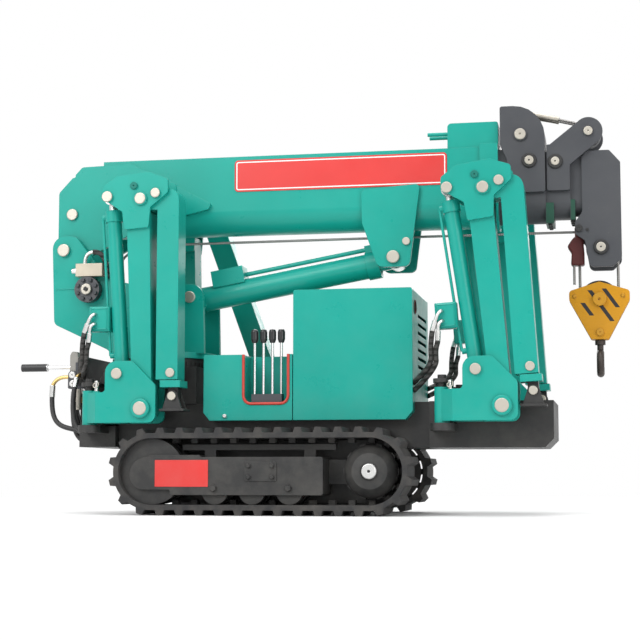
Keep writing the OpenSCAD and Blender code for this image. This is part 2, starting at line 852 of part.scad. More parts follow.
module derrick_barrel() {
    barrel_l = derrick_l - 62;
    color(teal)
        on_derrick()
            difference() {
                union() {
                    cross_pin(0, 0, 44, -40, 40);
                    translate([0, 0, 20])
                        cylinder(d = derrick_d, h = barrel_l - 20);
                    translate([0, 0, barrel_l - derrick_gland])
                        cylinder(d = derrick_d + 12, h = derrick_gland);
                    // holding valve on top, with the pipe to the rod end
                    block([-derrick_d / 2 - 46, -40, 70], [-30, 40, 190]);
                    translate([-derrick_d / 2 - 16, 0, 189])
                        cylinder(r = 8, h = barrel_l - 189 - 24);
                    block([-derrick_d / 2 - 28, -18, barrel_l - 44], [-30, 18, barrel_l - 12]);
                }
                cross_pin(0, 0, derrick_pin_r + pin_gap, -41, 41);
                translate([0, 0, 80])
                    cylinder(d = derrick_rod_d + 1, h = barrel_l);
            }
}

module derrick_rod() {
    rod_in = 90;
    color(steel)
        on_derrick()
            difference() {
                union() {
                    translate([0, 0, rod_in])
                        cylinder(d = derrick_rod_d, h = derrick_l - rod_in - 20);
                    cross_pin(0, derrick_l, derrick_eye_r, -40, 40);
                }
                cross_pin(0, derrick_l, 20, -41, 41);
            }
}

// Hook block and hook

hook_x = tip_pin_x - 9;
hook_neck_z = 606;
rope_r = 5;
fall_r = hook_sheave_r - 2;
// The rope's falling part runs off the tip sheave straight down to the hook block's sheave
tip_sheave_r = hook_x + fall_r - tip_pin_x - rope_r - 0.3;
dead_end_z = 819;

module hook_block() {
    cheek_in = 17;
    cheek_t = 12;
    color(yellow)
        both_slabs(cheek_in, cheek_in + cheek_t)
            polygon(soft([[hook_x, 808, 14], [hook_x - hook_half_w, 776, 14],
                [hook_x - hook_half_w, 744, 16], [hook_x - 30, hook_neck_z, 10],
                [hook_x + 30, hook_neck_z, 10], [hook_x + hook_half_w, 744, 16],
                [hook_x + hook_half_w, 776, 14]]));
    color(dark) {
        difference() {
            cross_pin(hook_x, hook_sheave_z, hook_sheave_r, -14, 14);
            translate([hook_x, 0, hook_sheave_z])
                rotate([90, 0, 0])
                    rotate_extrude()
                        translate([hook_sheave_r + 2, 0])
                            circle(rope_r + 4 + seat_gap);
        }
        cross_pin(hook_x, hook_sheave_z, 16, -cheek_in - cheek_t - 12, cheek_in + cheek_t + 12);
        // trunnion that the hook's shank turns in
        difference() {
            block([hook_x - 26, -cheek_in, hook_neck_z + 4], [hook_x + 26, cheek_in, hook_neck_z + 44]);
            translate([hook_x, 0, hook_neck_z])
                cylinder(r = 11 + pin_gap, h = 60);
        }
        cross_pin(hook_x, hook_neck_z + 24, 10, -cheek_in - cheek_t - 6, -cheek_in + 1);
        cross_pin(hook_x, hook_neck_z + 24, 10, cheek_in - 1, cheek_in + cheek_t + 6);
    }
}

module hoist_rope() {
    color(steel)
        translate([hook_x, 0, hook_sheave_z]) {
            rotate([90, 0, 0])
                rotate([0, 0, 180])
                    rotate_extrude(angle = 180)
                        translate([fall_r, 0])
                            circle(rope_r, $fn = 24);
            translate([fall_r, 0, 0])
                cylinder(r = rope_r, h = tip_pin_z - hook_sheave_z, $fn = 24);
            translate([-fall_r, 0, 0])
                cylinder(r = rope_r, h = dead_end_z - hook_sheave_z, $fn = 24);
        }
}

hook_eye_r = 36;

module hook() {
    bend_z = hook_neck_z - 82;
    color(dark)
        translate([hook_x, 0, 0]) {
            // shank with its nut above the trunnion
            translate([0, 0, bend_z + hook_eye_r - 6])
                cylinder(r = 11, h = hook_neck_z + 50 - bend_z - hook_eye_r + 6);
            translate([0, 0, hook_neck_z + 44.5])
                cylinder(r = 16, h = 14, $fn = 6);
            translate([0, 0, hook_neck_z - 18])
                cylinder(r = 18, h = 16);
            // bend, in the plane across the machine
            translate([0, 0, bend_z])
                rotate([90, 0, 90])
                    rotate([0, 0, 90])
                        rotate_extrude(angle = 250)
                            translate([hook_eye_r, 0])
                                circle(d = hook_bar_d, $fn = 32);
        }
}

// Legs. In a leg's own frame the origin is on the lift pin, and the outer side is -Y.

knee_x = -9;
rod_pin_x = -129;
rod_pin_z = knee_z + 10;
lock_x = 46;
lock_z = knee_z + 18;
spare_x = -36;
spare_z = knee_z + 47;
cyl_pin_x = -86;
cyl_pin_z = 121;
lift_pin_r = 18;
cyl_pin_r = 14;
bracket_in = inner_arm_d / 2 + 2;
bracket_out = bracket_in + leg_plate_t;
knee_in = inner_arm_d / 2;
knee_out = knee_in + leg_plate_t;
head_t = 8;
bracket_low = -49;
bracket_right = 52;
outer_x0 = 48;
outer_x1 = 126;
outer_low = 100;
outer_top = knee_z + 38;
extension_gap = 0.5;
outer_wall = 9;
foot_x = 104;
foot_pin_z = 43;
foot_pin_r = 11;

module on_leg(leg) {
    translate([leg[1] + swing_to_lift, leg[2] * leg_y, lift_pin_z])
        flipped(leg[2] > 0)
            children();
}

module leaned(leg) {
    rotate([0, -leg[3], 0])
        children();
}

module knee_opened(leg) {
    leaned(leg)
        translate([knee_x, 0, knee_z])
            rotate([0, -leg[4], 0])
                translate([-knee_x, 0, -knee_z])
                    children();
}

// The rod's pin in the leg's frame, once its arm leans by an angle
function rod_pin(lean) = [rod_pin_x * cos(lean) - rod_pin_z * sin(lean),
    rod_pin_x * sin(lean) + rod_pin_z * cos(lean)];
function cylinder_run(lean) = rod_pin(lean) - [cyl_pin_x, cyl_pin_z];
leg_barrel_l = norm(cylinder_run(0)) - 42;

module on_cylinder(leg) {
    run = cylinder_run(leg[3]);
    translate([cyl_pin_x, 0, cyl_pin_z])
        rotate([0, atan2(run.x, run.y), 0])
            children();
}

module pin_heads(x, z, r, y) {
    for (s = [-1, 1])
        cross_pin(x, z, r, s * y - (s < 0 ? head_t : 1), s * y + (s < 0 ? 1 : head_t));
}

module swing_bracket(leg) {
    tube_r = 26;
    head_top = 57;
    head_x = -swing_to_lift + 74;
    tube_foot = pin_seat_z + seat_gap - lift_pin_z;
    color(teal)
        on_leg(leg)
            difference() {
                union() {
                    both_slabs(bracket_in, bracket_out)
                        polygon(soft([[-swing_to_lift + 40, head_top, 0], [-130, head_top, 12],
                            [-130, 165, 40], [-31, 165, 24], [bracket_right, 80, 20],
                            [bracket_right, bracket_low, 26], [-swing_to_lift + 40, bracket_low, 0]]));
                    // head that spreads from the swing pin's tube to the side plates
                    translate([0, 0, bracket_low])
                        linear_extrude(head_top - bracket_low)
                            polygon([[-swing_to_lift, -tube_r], [-swing_to_lift + 40, -bracket_out],
                                [head_x, -bracket_out], [head_x, bracket_out],
                                [-swing_to_lift + 40, bracket_out], [-swing_to_lift, tube_r]]);
                    translate([-swing_to_lift, 0, tube_foot])
                        cylinder(r = tube_r, h = head_top + 8 - tube_foot);
                    block([head_x - 1, -bracket_in - 1, bracket_low], [-70, bracket_in + 1, bracket_low + 10]);
                }
                translate([-swing_to_lift, 0, bracket_low - 20])
                    cylinder(r = swing_pin_r + pin_gap, h = 160);
            }
    color(steel)
        on_leg(leg) {
            cross_pin(0, 0, lift_pin_r, -bracket_out, bracket_out);
            pin_heads(0, 0, lift_pin_r + 6, bracket_out);
            cross_pin(cyl_pin_x, cyl_pin_z, cyl_pin_r, -bracket_out, bracket_out);
            pin_heads(cyl_pin_x, cyl_pin_z, cyl_pin_r + 5, bracket_out);
        }
}

module inner_arm(leg) {
    heel_r = 34;
    top = knee_z - 44;
    color(teal)
        on_leg(leg)
            leaned(leg)
                difference() {
                    union() {
                        slab(-inner_arm_d / 2, inner_arm_d / 2) {
                            circle(heel_r);
                            polygon([[-heel_r, 0], [-64, top], [20, top], [heel_r, 0]]);
                        }
                        both_slabs(knee_in, knee_out)
                            polygon(soft([[-96, knee_z + 84, 16], [20, knee_z + 95, 16], [89, knee_z + 68, 12],
                                [89, knee_z + 20, 12], [26, knee_z - 30, 10], [20, knee_z - 101, 8],
                                [-68, knee_z - 108, 8], [-76, knee_z - 44, 8], [-151, knee_z + 6, 16],
                                [-147, knee_z + 48, 14]]));
                    }
                    cross_pin(0, 0, lift_pin_r + pin_gap, -inner_arm_d, inner_arm_d);
                    cross_pin(spare_x, spare_z, 9, -inner_arm_d, inner_arm_d);
                }
    color(steel)
        on_leg(leg)
            leaned(leg) {
                cross_pin(knee_x, knee_z, lift_pin_r, -knee_out, knee_out);
                pin_heads(knee_x, knee_z, lift_pin_r + 6, knee_out);
                pin_heads(rod_pin_x, rod_pin_z, 19, knee_out);
                pin_heads(lock_x, lock_z, 17, knee_out);
            }
}

module leg_cylinder(leg) {
    gland = 40;
    eye_y = 34;
    color(teal)
        on_leg(leg)
            on_cylinder(leg)
                difference() {
                    union() {
                        cross_pin(0, 0, leg_barrel_d / 2, -eye_y, eye_y);
                        cylinder(d = leg_barrel_d, h = leg_barrel_l);
                        translate([0, 0, leg_barrel_l - gland])
                            cylinder(d = leg_barrel_d + 8, h = gland);
                        // oil ports and the pipe between them
                        for (z = [70, leg_barrel_l - gland / 2])
                            translate([-leg_barrel_d / 2 - 14, 0, z])
                                rotate([0, 90, 0])
                                    cylinder(r = 10, h = 24);
                        translate([-leg_barrel_d / 2 - 14, 0, 70])
                            cylinder(r = 5, h = leg_barrel_l - gland / 2 - 70);
                    }
                    cross_pin(0, 0, cyl_pin_r + pin_gap, -eye_y - 1, eye_y + 1);
                    translate([0, 0, 80])
                        cylinder(d = leg_rod_d + 1, h = leg_barrel_l);
                }
}

module leg_rod(leg) {
    rod_in = 100;
    eye_r = 23;
    eye_y = 28;
    l = norm(cylinder_run(leg[3]));
    color(steel)
        on_leg(leg)
            on_cylinder(leg)
                difference() {
                    union() {
                        translate([0, 0, rod_in])
                            cylinder(d = leg_rod_d, h = l - rod_in - 10);
                        cross_pin(0, l, eye_r, -eye_y, eye_y);
                    }
                    cross_pin(0, l, cyl_pin_r, -eye_y - 1, eye_y + 1);
                }
}

module outer_arm(leg) {
    lug_r = 38;
    y = outer_arm_d / 2;
    color(teal)
        on_leg(leg)
            knee_opened(leg)
                difference() {
                    slab(-y, y) {
                        polygon(soft([[outer_x0, outer_low, 0], [outer_x1, outer_low, 0], [outer_x1, outer_top, 44], [knee_x, knee_z + lug_r, 0],
                            [knee_x, knee_z - lug_r, 0], [outer_x0, knee_z - lug_r, 0]]));
                        translate([knee_x, knee_z])
                            circle(lug_r);
                    }
                    cross_pin(knee_x, knee_z, lift_pin_r + pin_gap, -y - 1, y + 1);
                    block([outer_x0 + outer_wall, -y + outer_wall, outer_low - 1],
                        [outer_x1 - outer_wall, y - outer_wall, knee_z - 110]);
                }
    color(steel)
        on_leg(leg)
            knee_opened(leg)
                for (s = [-1, 1])
                    cross_pin(100, outer_low + 23, 15, s * y - 4, s * y + 4);
}

module leg_extension(leg) {
    y = outer_arm_d / 2 - outer_wall - extension_gap;
    flange_t = 24;
    flange_top = outer_low - 3;
    flange_y = outer_arm_d / 2 + 3;
    lug_y = 20;
    foot_ear_out = 34;
    color(teal)
        on_leg(leg)
            knee_opened(leg)
                difference() {
                    block([outer_x0 + outer_wall + extension_gap, -y, flange_top - 1],
                        [outer_x1 - outer_wall - extension_gap, y, outer_low + 400]);
                    block([outer_x0 + outer_wall + extension_gap + 6, -y + 6, flange_top + 20],
                        [outer_x1 - outer_wall - extension_gap - 6, y - 6, outer_low + 401]);
                }
    color(teal)
        on_leg(leg)
            knee_opened(leg)
                block([bracket_right + 12, -flange_y, flange_top - flange_t], [outer_x1 + 10, flange_y, flange_top]);
    color(dark)
        on_leg(leg)
            knee_opened(leg) {
                slab(-lug_y, lug_y) {
                    translate([foot_x, foot_pin_z])
                        circle(18);
                    translate([foot_x - 18, foot_pin_z])
                        square([36, flange_top - flange_t - foot_pin_z + 1]);
                }
                cross_pin(foot_x, foot_pin_z, foot_pin_r, -foot_ear_out - 6, foot_ear_out + 6);
            }
}

// Place of the foot's pin, in the leg's frame, for an arm turned in by an angle about the knee
function turned_in(p, a) = [p.x * cos(a) - p.y * sin(a), p.x * sin(a) + p.y * cos(a)];
function foot_at(leg) = let (knee = [knee_x, knee_z],
    at = knee + turned_in([foot_x, foot_pin_z] - knee, leg[4])) turned_in(at, leg[3]);

module foot(leg) {
    ear_in = 22;
    ear_out = 34;
    plate_t = 8;
    plate_low = -52;
    at = foot_at(leg);
    color(dark)
        on_leg(leg)
            translate([at.x, 0, at.y])
                difference() {
                    union() {
                        both_slabs(ear_in, ear_out) {
                            circle(20);
                            polygon([[-20, 0], [-foot_w / 2 + 8, plate_low + 4], [foot_w / 2 - 8, plate_low + 4], [20, 0]]);
                        }
                        block([-foot_w / 2, -42, plate_low], [foot_w / 2, 42, plate_low + plate_t]);
                    }
                    cross_pin(0, 0, foot_pin_r + pin_gap, -ear_out - 1, ear_out + 1);
                }
}

chassis();
slew_ring();
turret();
winch();
engine_cover();
engine_block();
control_box();
control_levers();
oil_tank();
rear_manifold();
hand_lever();
rear_hoses();
boom_base();
boom_second();
boom_third();
boom_tip();
derrick_barrel();
derrick_rod();
hook_block();
hoist_rope();
hook();
for (s = SIDES) {
    track(s[1]);
    track_frame(s[1]);
}
for (leg = LEGS) {
    leg_seat(leg[1], leg[2]);
    swing_bracket(leg);
    inner_arm(leg);
    leg_cylinder(leg);
    leg_rod(leg);
    outer_arm(leg);
    leg_extension(leg);
    foot(leg);
}
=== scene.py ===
import math

import bpy
from mathutils import Matrix, Vector


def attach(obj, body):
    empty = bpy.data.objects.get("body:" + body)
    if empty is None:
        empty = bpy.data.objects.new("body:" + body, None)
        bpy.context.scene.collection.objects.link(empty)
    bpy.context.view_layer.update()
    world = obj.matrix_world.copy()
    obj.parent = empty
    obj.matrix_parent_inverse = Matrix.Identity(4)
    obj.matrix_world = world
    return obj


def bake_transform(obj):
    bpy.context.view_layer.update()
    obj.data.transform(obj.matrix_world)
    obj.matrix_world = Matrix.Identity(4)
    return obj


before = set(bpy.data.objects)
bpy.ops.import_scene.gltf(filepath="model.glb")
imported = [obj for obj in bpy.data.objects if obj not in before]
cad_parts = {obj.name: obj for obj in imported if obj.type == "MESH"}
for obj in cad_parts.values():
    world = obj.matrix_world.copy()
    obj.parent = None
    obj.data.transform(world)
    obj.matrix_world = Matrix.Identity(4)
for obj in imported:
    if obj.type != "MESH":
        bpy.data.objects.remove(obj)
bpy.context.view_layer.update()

# Camera
# A long lens set low in front of the right side and a little ahead of the middle, looking
# slightly up, so that the tracks are seen nearly level.
CAMERA_AT, CAMERA_AIM = (1.0495, -5.399, 0.136), (0, 0, 0.695)
bpy.ops.object.select_all(action="DESELECT")
bpy.ops.object.camera_add(location=CAMERA_AT)
camera = bpy.context.object
camera.name = "camera"
camera.data.lens = 85.95
camera.data.sensor_width = 36
camera.rotation_euler = (Vector(CAMERA_AIM) - camera.location).to_track_quat("-Z", "Y").to_euler()
bpy.context.scene.camera = camera
bpy.context.scene.view_settings.view_transform = "Standard"

# Studio floor and light
# A pale matt floor that fades to white away from the machine, four soft boxes hung round it and an
# even white room, at a level that shows the paint as it is.
def add_node(tree, kind, values=(), **settings):
    """Shader node of a kind, with the values of its inputs by name or number and its settings."""
    made = tree.nodes.new("ShaderNode" + kind)
    for key, value in settings.items():
        setattr(made, key, value)
    for key, value in dict(values).items():
        made.inputs[key].default_value = value
    return made


bpy.ops.object.select_all(action="DESELECT")
bpy.ops.mesh.primitive_plane_add(size=60)
floor = bpy.context.object
floor.name = "studio_floor"
floor_paint = bpy.data.materials.new("studio_floor")
floor_paint.use_nodes = True
tree = floor_paint.node_tree
surface = tree.nodes["Principled BSDF"]
surface.inputs["Base Color"].default_value = (0.86, 0.86, 0.86, 1)
surface.inputs["Roughness"].default_value = 0.8
place = add_node(tree, "TexCoord")
reach = add_node(tree, "VectorMath", operation="LENGTH")
fade = add_node(tree, "MapRange", {"From Min": 1.2, "From Max": 5.0}, interpolation_type="SMOOTHSTEP")
glow = add_node(tree, "Emission", {"Color": (1, 1, 1, 1), "Strength": 1.0})
light_path = add_node(tree, "LightPath")
seen = add_node(tree, "Math", operation="MULTIPLY")
both = add_node(tree, "MixShader")
tree.links.new(place.outputs["Object"], reach.inputs[0])
tree.links.new(reach.outputs["Value"], fade.inputs["Value"])
tree.links.new(fade.outputs["Result"], seen.inputs[0])
tree.links.new(light_path.outputs["Is Camera Ray"], seen.inputs[1])
tree.links.new(seen.outputs["Value"], both.inputs["Fac"])
tree.links.new(surface.outputs["BSDF"], both.inputs[1])
tree.links.new(glow.outputs["Emission"], both.inputs[2])
tree.links.new(both.outputs["Shader"], tree.nodes["Material Output"].inputs["Surface"])
floor.data.materials.append(floor_paint)

room = bpy.data.worlds.new("white_room")
bpy.context.scene.world = room
room.use_nodes = True
tree = room.node_tree
even = tree.nodes["Background"]
even.inputs["Color"].default_value = (1, 1, 1, 1)
even.inputs["Strength"].default_value = 0.45
white = add_node(tree, "Background", {"Color": (1, 1, 1, 1), "Strength": 1.0})
light_path = add_node(tree, "LightPath")
shown = add_node(tree, "Math", operation="MAXIMUM")
shown_too = add_node(tree, "Math", operation="MAXIMUM")
both = add_node(tree, "MixShader")
tree.links.new(light_path.outputs["Is Camera Ray"], shown.inputs[0])
tree.links.new(light_path.outputs["Is Glossy Ray"], shown.inputs[1])
tree.links.new(shown.outputs["Value"], shown_too.inputs[0])
tree.links.new(light_path.outputs["Is Transmission Ray"], shown_too.inputs[1])
tree.links.new(shown_too.outputs["Value"], both.inputs["Fac"])
tree.links.new(even.outputs["Background"], both.inputs[1])
tree.links.new(white.outputs["Background"], both.inputs[2])
tree.links.new(both.outputs["Shader"], tree.nodes["World Output"].inputs["Surface"])

LIT_POINT = (0, 0, 0.7)
# name, place, width, power
SOFT_BOXES = [
    ("key_box", (-4.7, -7.6, 5.9), 5.4, 615),
    ("fill_box", (6.5, -7.2, 3.4), 5.4, 290),
    ("top_box", (0.4, -0.7, 7.7), 6.5, 420),
    ("rear_box", (-0.9, 8.3, 4.8), 5.4, 355),
]
for name, at, width, power in SOFT_BOXES:
    bpy.ops.object.light_add(type="AREA", location=at)
    box = bpy.context.object
    box.name = name
    box.data.size = width
    box.data.energy = power
    box.rotation_euler = (Vector(LIT_POINT) - box.location).to_track_quat("-Z", "Y").to_euler()

# Teal paint
# The sheet metal, the leg boxes and the boom's base are sprayed with a gloss enamel. It has a faint
# orange peel, cloudy sheen, dust low down and small chips to the primer.
def mixed(tree, kind, factor, first, second):
    """Result of a Mix node that goes from first to second, each a socket or a value, as the factor goes to 1."""
    node = add_node(tree, "Mix", data_type=kind)
    # the node has sockets for every kind of value; these are the two inputs and the result of this kind
    into_first, into_second, result = {"RGBA": (6, 7, 2), "FLOAT": (2, 3, 0)}[kind]
    for socket, value in ((0, factor), (into_first, first), (into_second, second)):
        if isinstance(value, bpy.types.NodeSocket):
            tree.links.new(value, node.inputs[socket])
        else:
            node.inputs[socket].default_value = value
    return node.outputs[result]


paint_skin = bpy.data.node_groups.new("paint_skin", "ShaderNodeTree")
for name, kind in (("Paint", "NodeSocketColor"), ("Primer", "NodeSocketColor"), ("Dust", "NodeSocketColor"),
                   ("Roughness", "NodeSocketFloat"), ("Dust level", "NodeSocketFloat"),
                   ("Chips", "NodeSocketFloat")):
    paint_skin.interface.new_socket(name, in_out="INPUT", socket_type=kind)
for name, kind in (("Color", "NodeSocketColor"), ("Roughness", "NodeSocketFloat"), ("Height", "NodeSocketFloat")):
    paint_skin.interface.new_socket(name, in_out="OUTPUT", socket_type=kind)
tree = paint_skin
given = tree.nodes.new("NodeGroupInput")
put_out = tree.nodes.new("NodeGroupOutput")
place = add_node(tree, "TexCoord")
cloud = add_node(tree, "TexNoise", {"Scale": 2.4, "Detail": 5.0, "Roughness": 0.6})
smudge = add_node(tree, "TexNoise", {"Scale": 11.0, "Detail": 6.0, "Roughness": 0.65})
peel = add_node(tree, "TexNoise", {"Scale": 420.0, "Detail": 2.0})
speck = add_node(tree, "TexNoise", {"Scale": 46.0, "Detail": 5.0, "Roughness": 0.75})
for texture in (cloud, smudge, peel, speck):
    tree.links.new(place.outputs["Object"], texture.inputs["Vector"])
# cloudy tone
tone = add_node(tree, "MapRange", {"From Min": 0.3, "From Max": 0.7, "To Min": 0.92, "To Max": 1.06})
tree.links.new(cloud.outputs["Fac"], tone.inputs["Value"])
toned = add_node(tree, "VectorMath", operation="SCALE")
tree.links.new(given.outputs["Paint"], toned.inputs[0])
tree.links.new(tone.outputs["Result"], toned.inputs["Scale"])
# chips to the primer
chip = add_node(tree, "MapRange", {"From Min": 0.70, "From Max": 0.73})
tree.links.new(speck.outputs["Fac"], chip.inputs["Value"])
chip_level = add_node(tree, "Math", operation="MULTIPLY")
tree.links.new(chip.outputs["Result"], chip_level.inputs[0])
tree.links.new(given.outputs["Chips"], chip_level.inputs[1])
chipped = mixed(tree, "RGBA", chip_level.outputs["Value"], toned.outputs["Vector"], given.outputs["Primer"])
# dust, thickest near the ground and in patches
height = add_node(tree, "SeparateXYZ")
tree.links.new(place.outputs["Object"], height.inputs["Vector"])
low = add_node(tree, "MapRange", {"From Min": 0.05, "From Max": 0.75, "To Min": 1.0, "To Max": 0.12})
tree.links.new(height.outputs["Z"], low.inputs["Value"])
patch = add_node(tree, "MapRange", {"From Min": 0.4, "From Max": 0.75})
tree.links.new(smudge.outputs["Fac"], patch.inputs["Value"])
dusty = add_node(tree, "Math", operation="MULTIPLY")
tree.links.new(low.outputs["Result"], dusty.inputs[0])
tree.links.new(patch.outputs["Result"], dusty.inputs[1])
dust_level = add_node(tree, "Math", operation="MULTIPLY")
tree.links.new(dusty.outputs["Value"], dust_level.inputs[0])
tree.links.new(given.outputs["Dust level"], dust_level.inputs[1])
dusted = mixed(tree, "RGBA", dust_level.outputs["Value"], chipped, given.outputs["Dust"])
tree.links.new(dusted, put_out.inputs["Color"])
# sheen and orange peel
sheen = add_node(tree, "MapRange", {"From Min": 0.3, "From Max": 0.7, "To Min": -0.07, "To Max": 0.10})
tree.links.new(smudge.outputs["Fac"], sheen.inputs["Value"])
rough = add_node(tree, "Math", operation="ADD")
tree.links.new(given.outputs["Roughness"], rough.inputs[0])
tree.links.new(sheen.outputs["Result"], rough.inputs[1])
rougher = add_node(tree, "Math", operation="MULTIPLY_ADD", use_clamp=True)
tree.links.new(dust_level.outputs["Value"], rougher.inputs[0])
rougher.inputs[1].default_value = 0.35
tree.links.new(rough.outputs["Value"], rougher.inputs[2])
tree.links.new(rougher.outputs["Value"], put_out.inputs["Roughness"])
tree.links.new(peel.outputs["Fac"], put_out.inputs["Height"])


def painted(name, colour, roughness, dust_level, chips, coat=0.0, metallic=0.0,
            primer=(0.06, 0.065, 0.07), dust=(0.42, 0.39, 0.34), bump=0.05, specular=0.5):
    """Finish with the paint skin: its colour, its roughness, and from 0 to 1 how much dust and how many chips."""
    finish = bpy.data.materials.new(name)
    finish.use_nodes = True
    tree = finish.node_tree
    surface = tree.nodes["Principled BSDF"]
    surface.inputs["Metallic"].default_value = metallic
    surface.inputs["Specular IOR Level"].default_value = specular
    surface.inputs["Coat Weight"].default_value = coat
    surface.inputs["Coat Roughness"].default_value = 0.12
    skin = tree.nodes.new("ShaderNodeGroup")
    skin.node_tree = paint_skin
    skin.inputs["Paint"].default_value = (*colour, 1)
    skin.inputs["Primer"].default_value = (*primer, 1)
    skin.inputs["Dust"].default_value = (*dust, 1)
    skin.inputs["Roughness"].default_value = roughness
    skin.inputs["Dust level"].default_value = dust_level
    skin.inputs["Chips"].default_value = chips
    lift = add_node(tree, "Bump", {"Strength": bump, "Distance": 0.001})
    # softens the light on the sheet metal's edges
    edge = add_node(tree, "Bevel", {"Radius": 0.003}, samples=4)
    tree.links.new(edge.outputs["Normal"], lift.inputs["Normal"])
    tree.links.new(skin.outputs["Color"], surface.inputs["Base Color"])
    tree.links.new(skin.outputs["Roughness"], surface.inputs["Roughness"])
    tree.links.new(skin.outputs["Height"], lift.inputs["Height"])
    tree.links.new(lift.outputs["Normal"], surface.inputs["Normal"])
    return finish


teal = painted("teal_enamel", (0.005, 0.305, 0.248), 0.32, 0.05, 0.10, coat=0.04, specular=0.3)


def finish_nodes(finish, *starts):
    """Give a finish to every solid whose name starts in one of these ways."""
    for name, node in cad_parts.items():
        if name.startswith(starts):
            node.material_slots[0].material = finish


finish_nodes(teal, "turret", "engine_cover", "control_box", "oil_tank", "boom_base", "derrick_barrel",
             "swing_bracket", "inner_arm", "leg_cylinder", "outer_arm")

# Charcoal and black paint
# The boom's inner sections are in a satin charcoal, and the chassis, the leg seats, the track frames and the
# feet in a blacker one. Both show dust more and scuff to bare steel.
charcoal = painted("charcoal_satin", (0.046, 0.049, 0.056), 0.46, 0.20, 0.3, primer=(0.20, 0.20, 0.20), specular=0.4)
FRAME_BLACK = (0.019, 0.019, 0.019)
frame_black = painted("frame_black", FRAME_BLACK, 0.48, 0.10, 0.2, primer=(0.16, 0.16, 0.16), specular=0.4)
finish_nodes(frame_black, "chassis", "leg_seat", "slew_ring", "engine_block", "track_frame", "foot")

# Slide pads and wedge socket
# The second and third sections carry moulded green slide pads under their front ends, and the rope's dead end
# sits in a red-brown cast wedge socket inside the tip's lobe.
def with_patch(finish, name, shade, tests):
    """Copy of a finish with another colour where every test holds: axis, comparison, limit in metres."""
    copy = finish.copy()
    copy.name = name
    tree = copy.node_tree
    surface = tree.nodes["Principled BSDF"]
    skin = surface.inputs["Base Color"].links[0].from_socket
    place = add_node(tree, "TexCoord")
    split = add_node(tree, "SeparateXYZ")
    grain = add_node(tree, "TexNoise", {"Scale": 30.0, "Detail": 5.0})
    tree.links.new(place.outputs["Object"], split.inputs["Vector"])
    tree.links.new(place.outputs["Object"], grain.inputs["Vector"])
    darker, lighter = [0.8 * c for c in shade], [1.2 * c for c in shade]
    tint = mixed(tree, "RGBA", grain.outputs["Fac"], (*darker, 1), (*lighter, 1))
    inside = None
    for axis, comparison, limit in tests:
        test = add_node(tree, "Math", {1: limit}, operation=comparison)
        tree.links.new(split.outputs[axis], test.inputs[0])
        if inside:
            both = add_node(tree, "Math", operation="MULTIPLY")
            tree.links.new(inside, both.inputs[0])
            tree.links.new(test.outputs[0], both.inputs[1])
            test = both
        inside = test.outputs[0]
    tree.links.new(mixed(tree, "RGBA", inside, skin, tint), surface.inputs["Base Color"])
    return copy


PAD_GREEN, SOCKET_RED = (0.004, 0.055, 0.032), (0.085, 0.016, 0.016)
SOCKET_HALF = 0.0205
finish_nodes(with_patch(charcoal, "second_section", PAD_GREEN,
                        [("X", "GREATER_THAN", 0.8185), ("Z", "LESS_THAN", 1.10)]), "boom_second")
finish_nodes(with_patch(charcoal, "third_section", PAD_GREEN,
                        [("X", "GREATER_THAN", 0.9035), ("Z", "LESS_THAN", 1.11)]), "boom_third")
finish_nodes(with_patch(charcoal, "tip_section", SOCKET_RED,
                        [("X", "LESS_THAN", 0.9475), ("Z", "LESS_THAN", 1.008),
                         ("Y", "LESS_THAN", SOCKET_HALF), ("Y", "GREATER_THAN", -SOCKET_HALF)]), "boom_tip")

# Bright steel
# The cylinders' rods are ground and plated steel, and so are the small fittings. A thin film of dust dulls them.
bright = painted("plated_steel", (0.62, 0.62, 0.61), 0.26, 0.10, 0.0, metallic=1.0, bump=0.02)
finish_nodes(bright, "derrick_rod", "leg_rod")

# Rubber tracks
# Two moulded rubber belts with lugs, matt black and grey with dust. The hoses behind the machine are rubber too.
rubber = painted("track_rubber", (0.017, 0.017, 0.018), 0.78, 0.40, 0.0, bump=0.35, dust=(0.20, 0.185, 0.165))
finish_nodes(rubber, "track_right", "track_left", "rear_hoses")

# Pin heads
# Every joint of the legs, the boom and the turret turns on a plated steel pin. Its turned head shows on
# both side plates, with a chamfered rim, and on the boom's heads with a drilled centre.
def pick(piece, test):
    """Go into edit mode with the faces picked that pass a test."""
    bpy.ops.object.mode_set(mode="OBJECT")
    bpy.context.tool_settings.mesh_select_mode = (False, False, True)
    for part in (piece.data.vertices, piece.data.edges):
        for one in part:
            one.select = False
    for face in piece.data.polygons:
        face.select = test(face)
    bpy.ops.object.mode_set(mode="EDIT")


def outer_face(face):
    return face.normal.z > 0.9 and face.center.xy.length < 1e-4


def turned_head(r, height=0.004, drilled=0.0):
    """Pin head that looks along z, in metres, with a chamfered rim; drilled is its centre hole's share of r."""
    bpy.ops.object.select_all(action="DESELECT")
    bpy.ops.mesh.primitive_cylinder_add(vertices=40, radius=r, depth=height)
    head = bpy.context.object
    pick(head, outer_face)
    bpy.ops.mesh.inset(thickness=r * 0.10)
    bpy.ops.transform.translate(value=(0, 0, height * 0.5))
    if drilled:
        bpy.ops.mesh.inset(thickness=r * (0.9 - drilled))
        bpy.ops.mesh.inset(thickness=r * 0.03)
        bpy.ops.transform.translate(value=(0, 0, -height * 1.2))
    bpy.ops.object.mode_set(mode="OBJECT")
    bpy.ops.object.shade_smooth_by_angle(angle=math.radians(35))
    return head


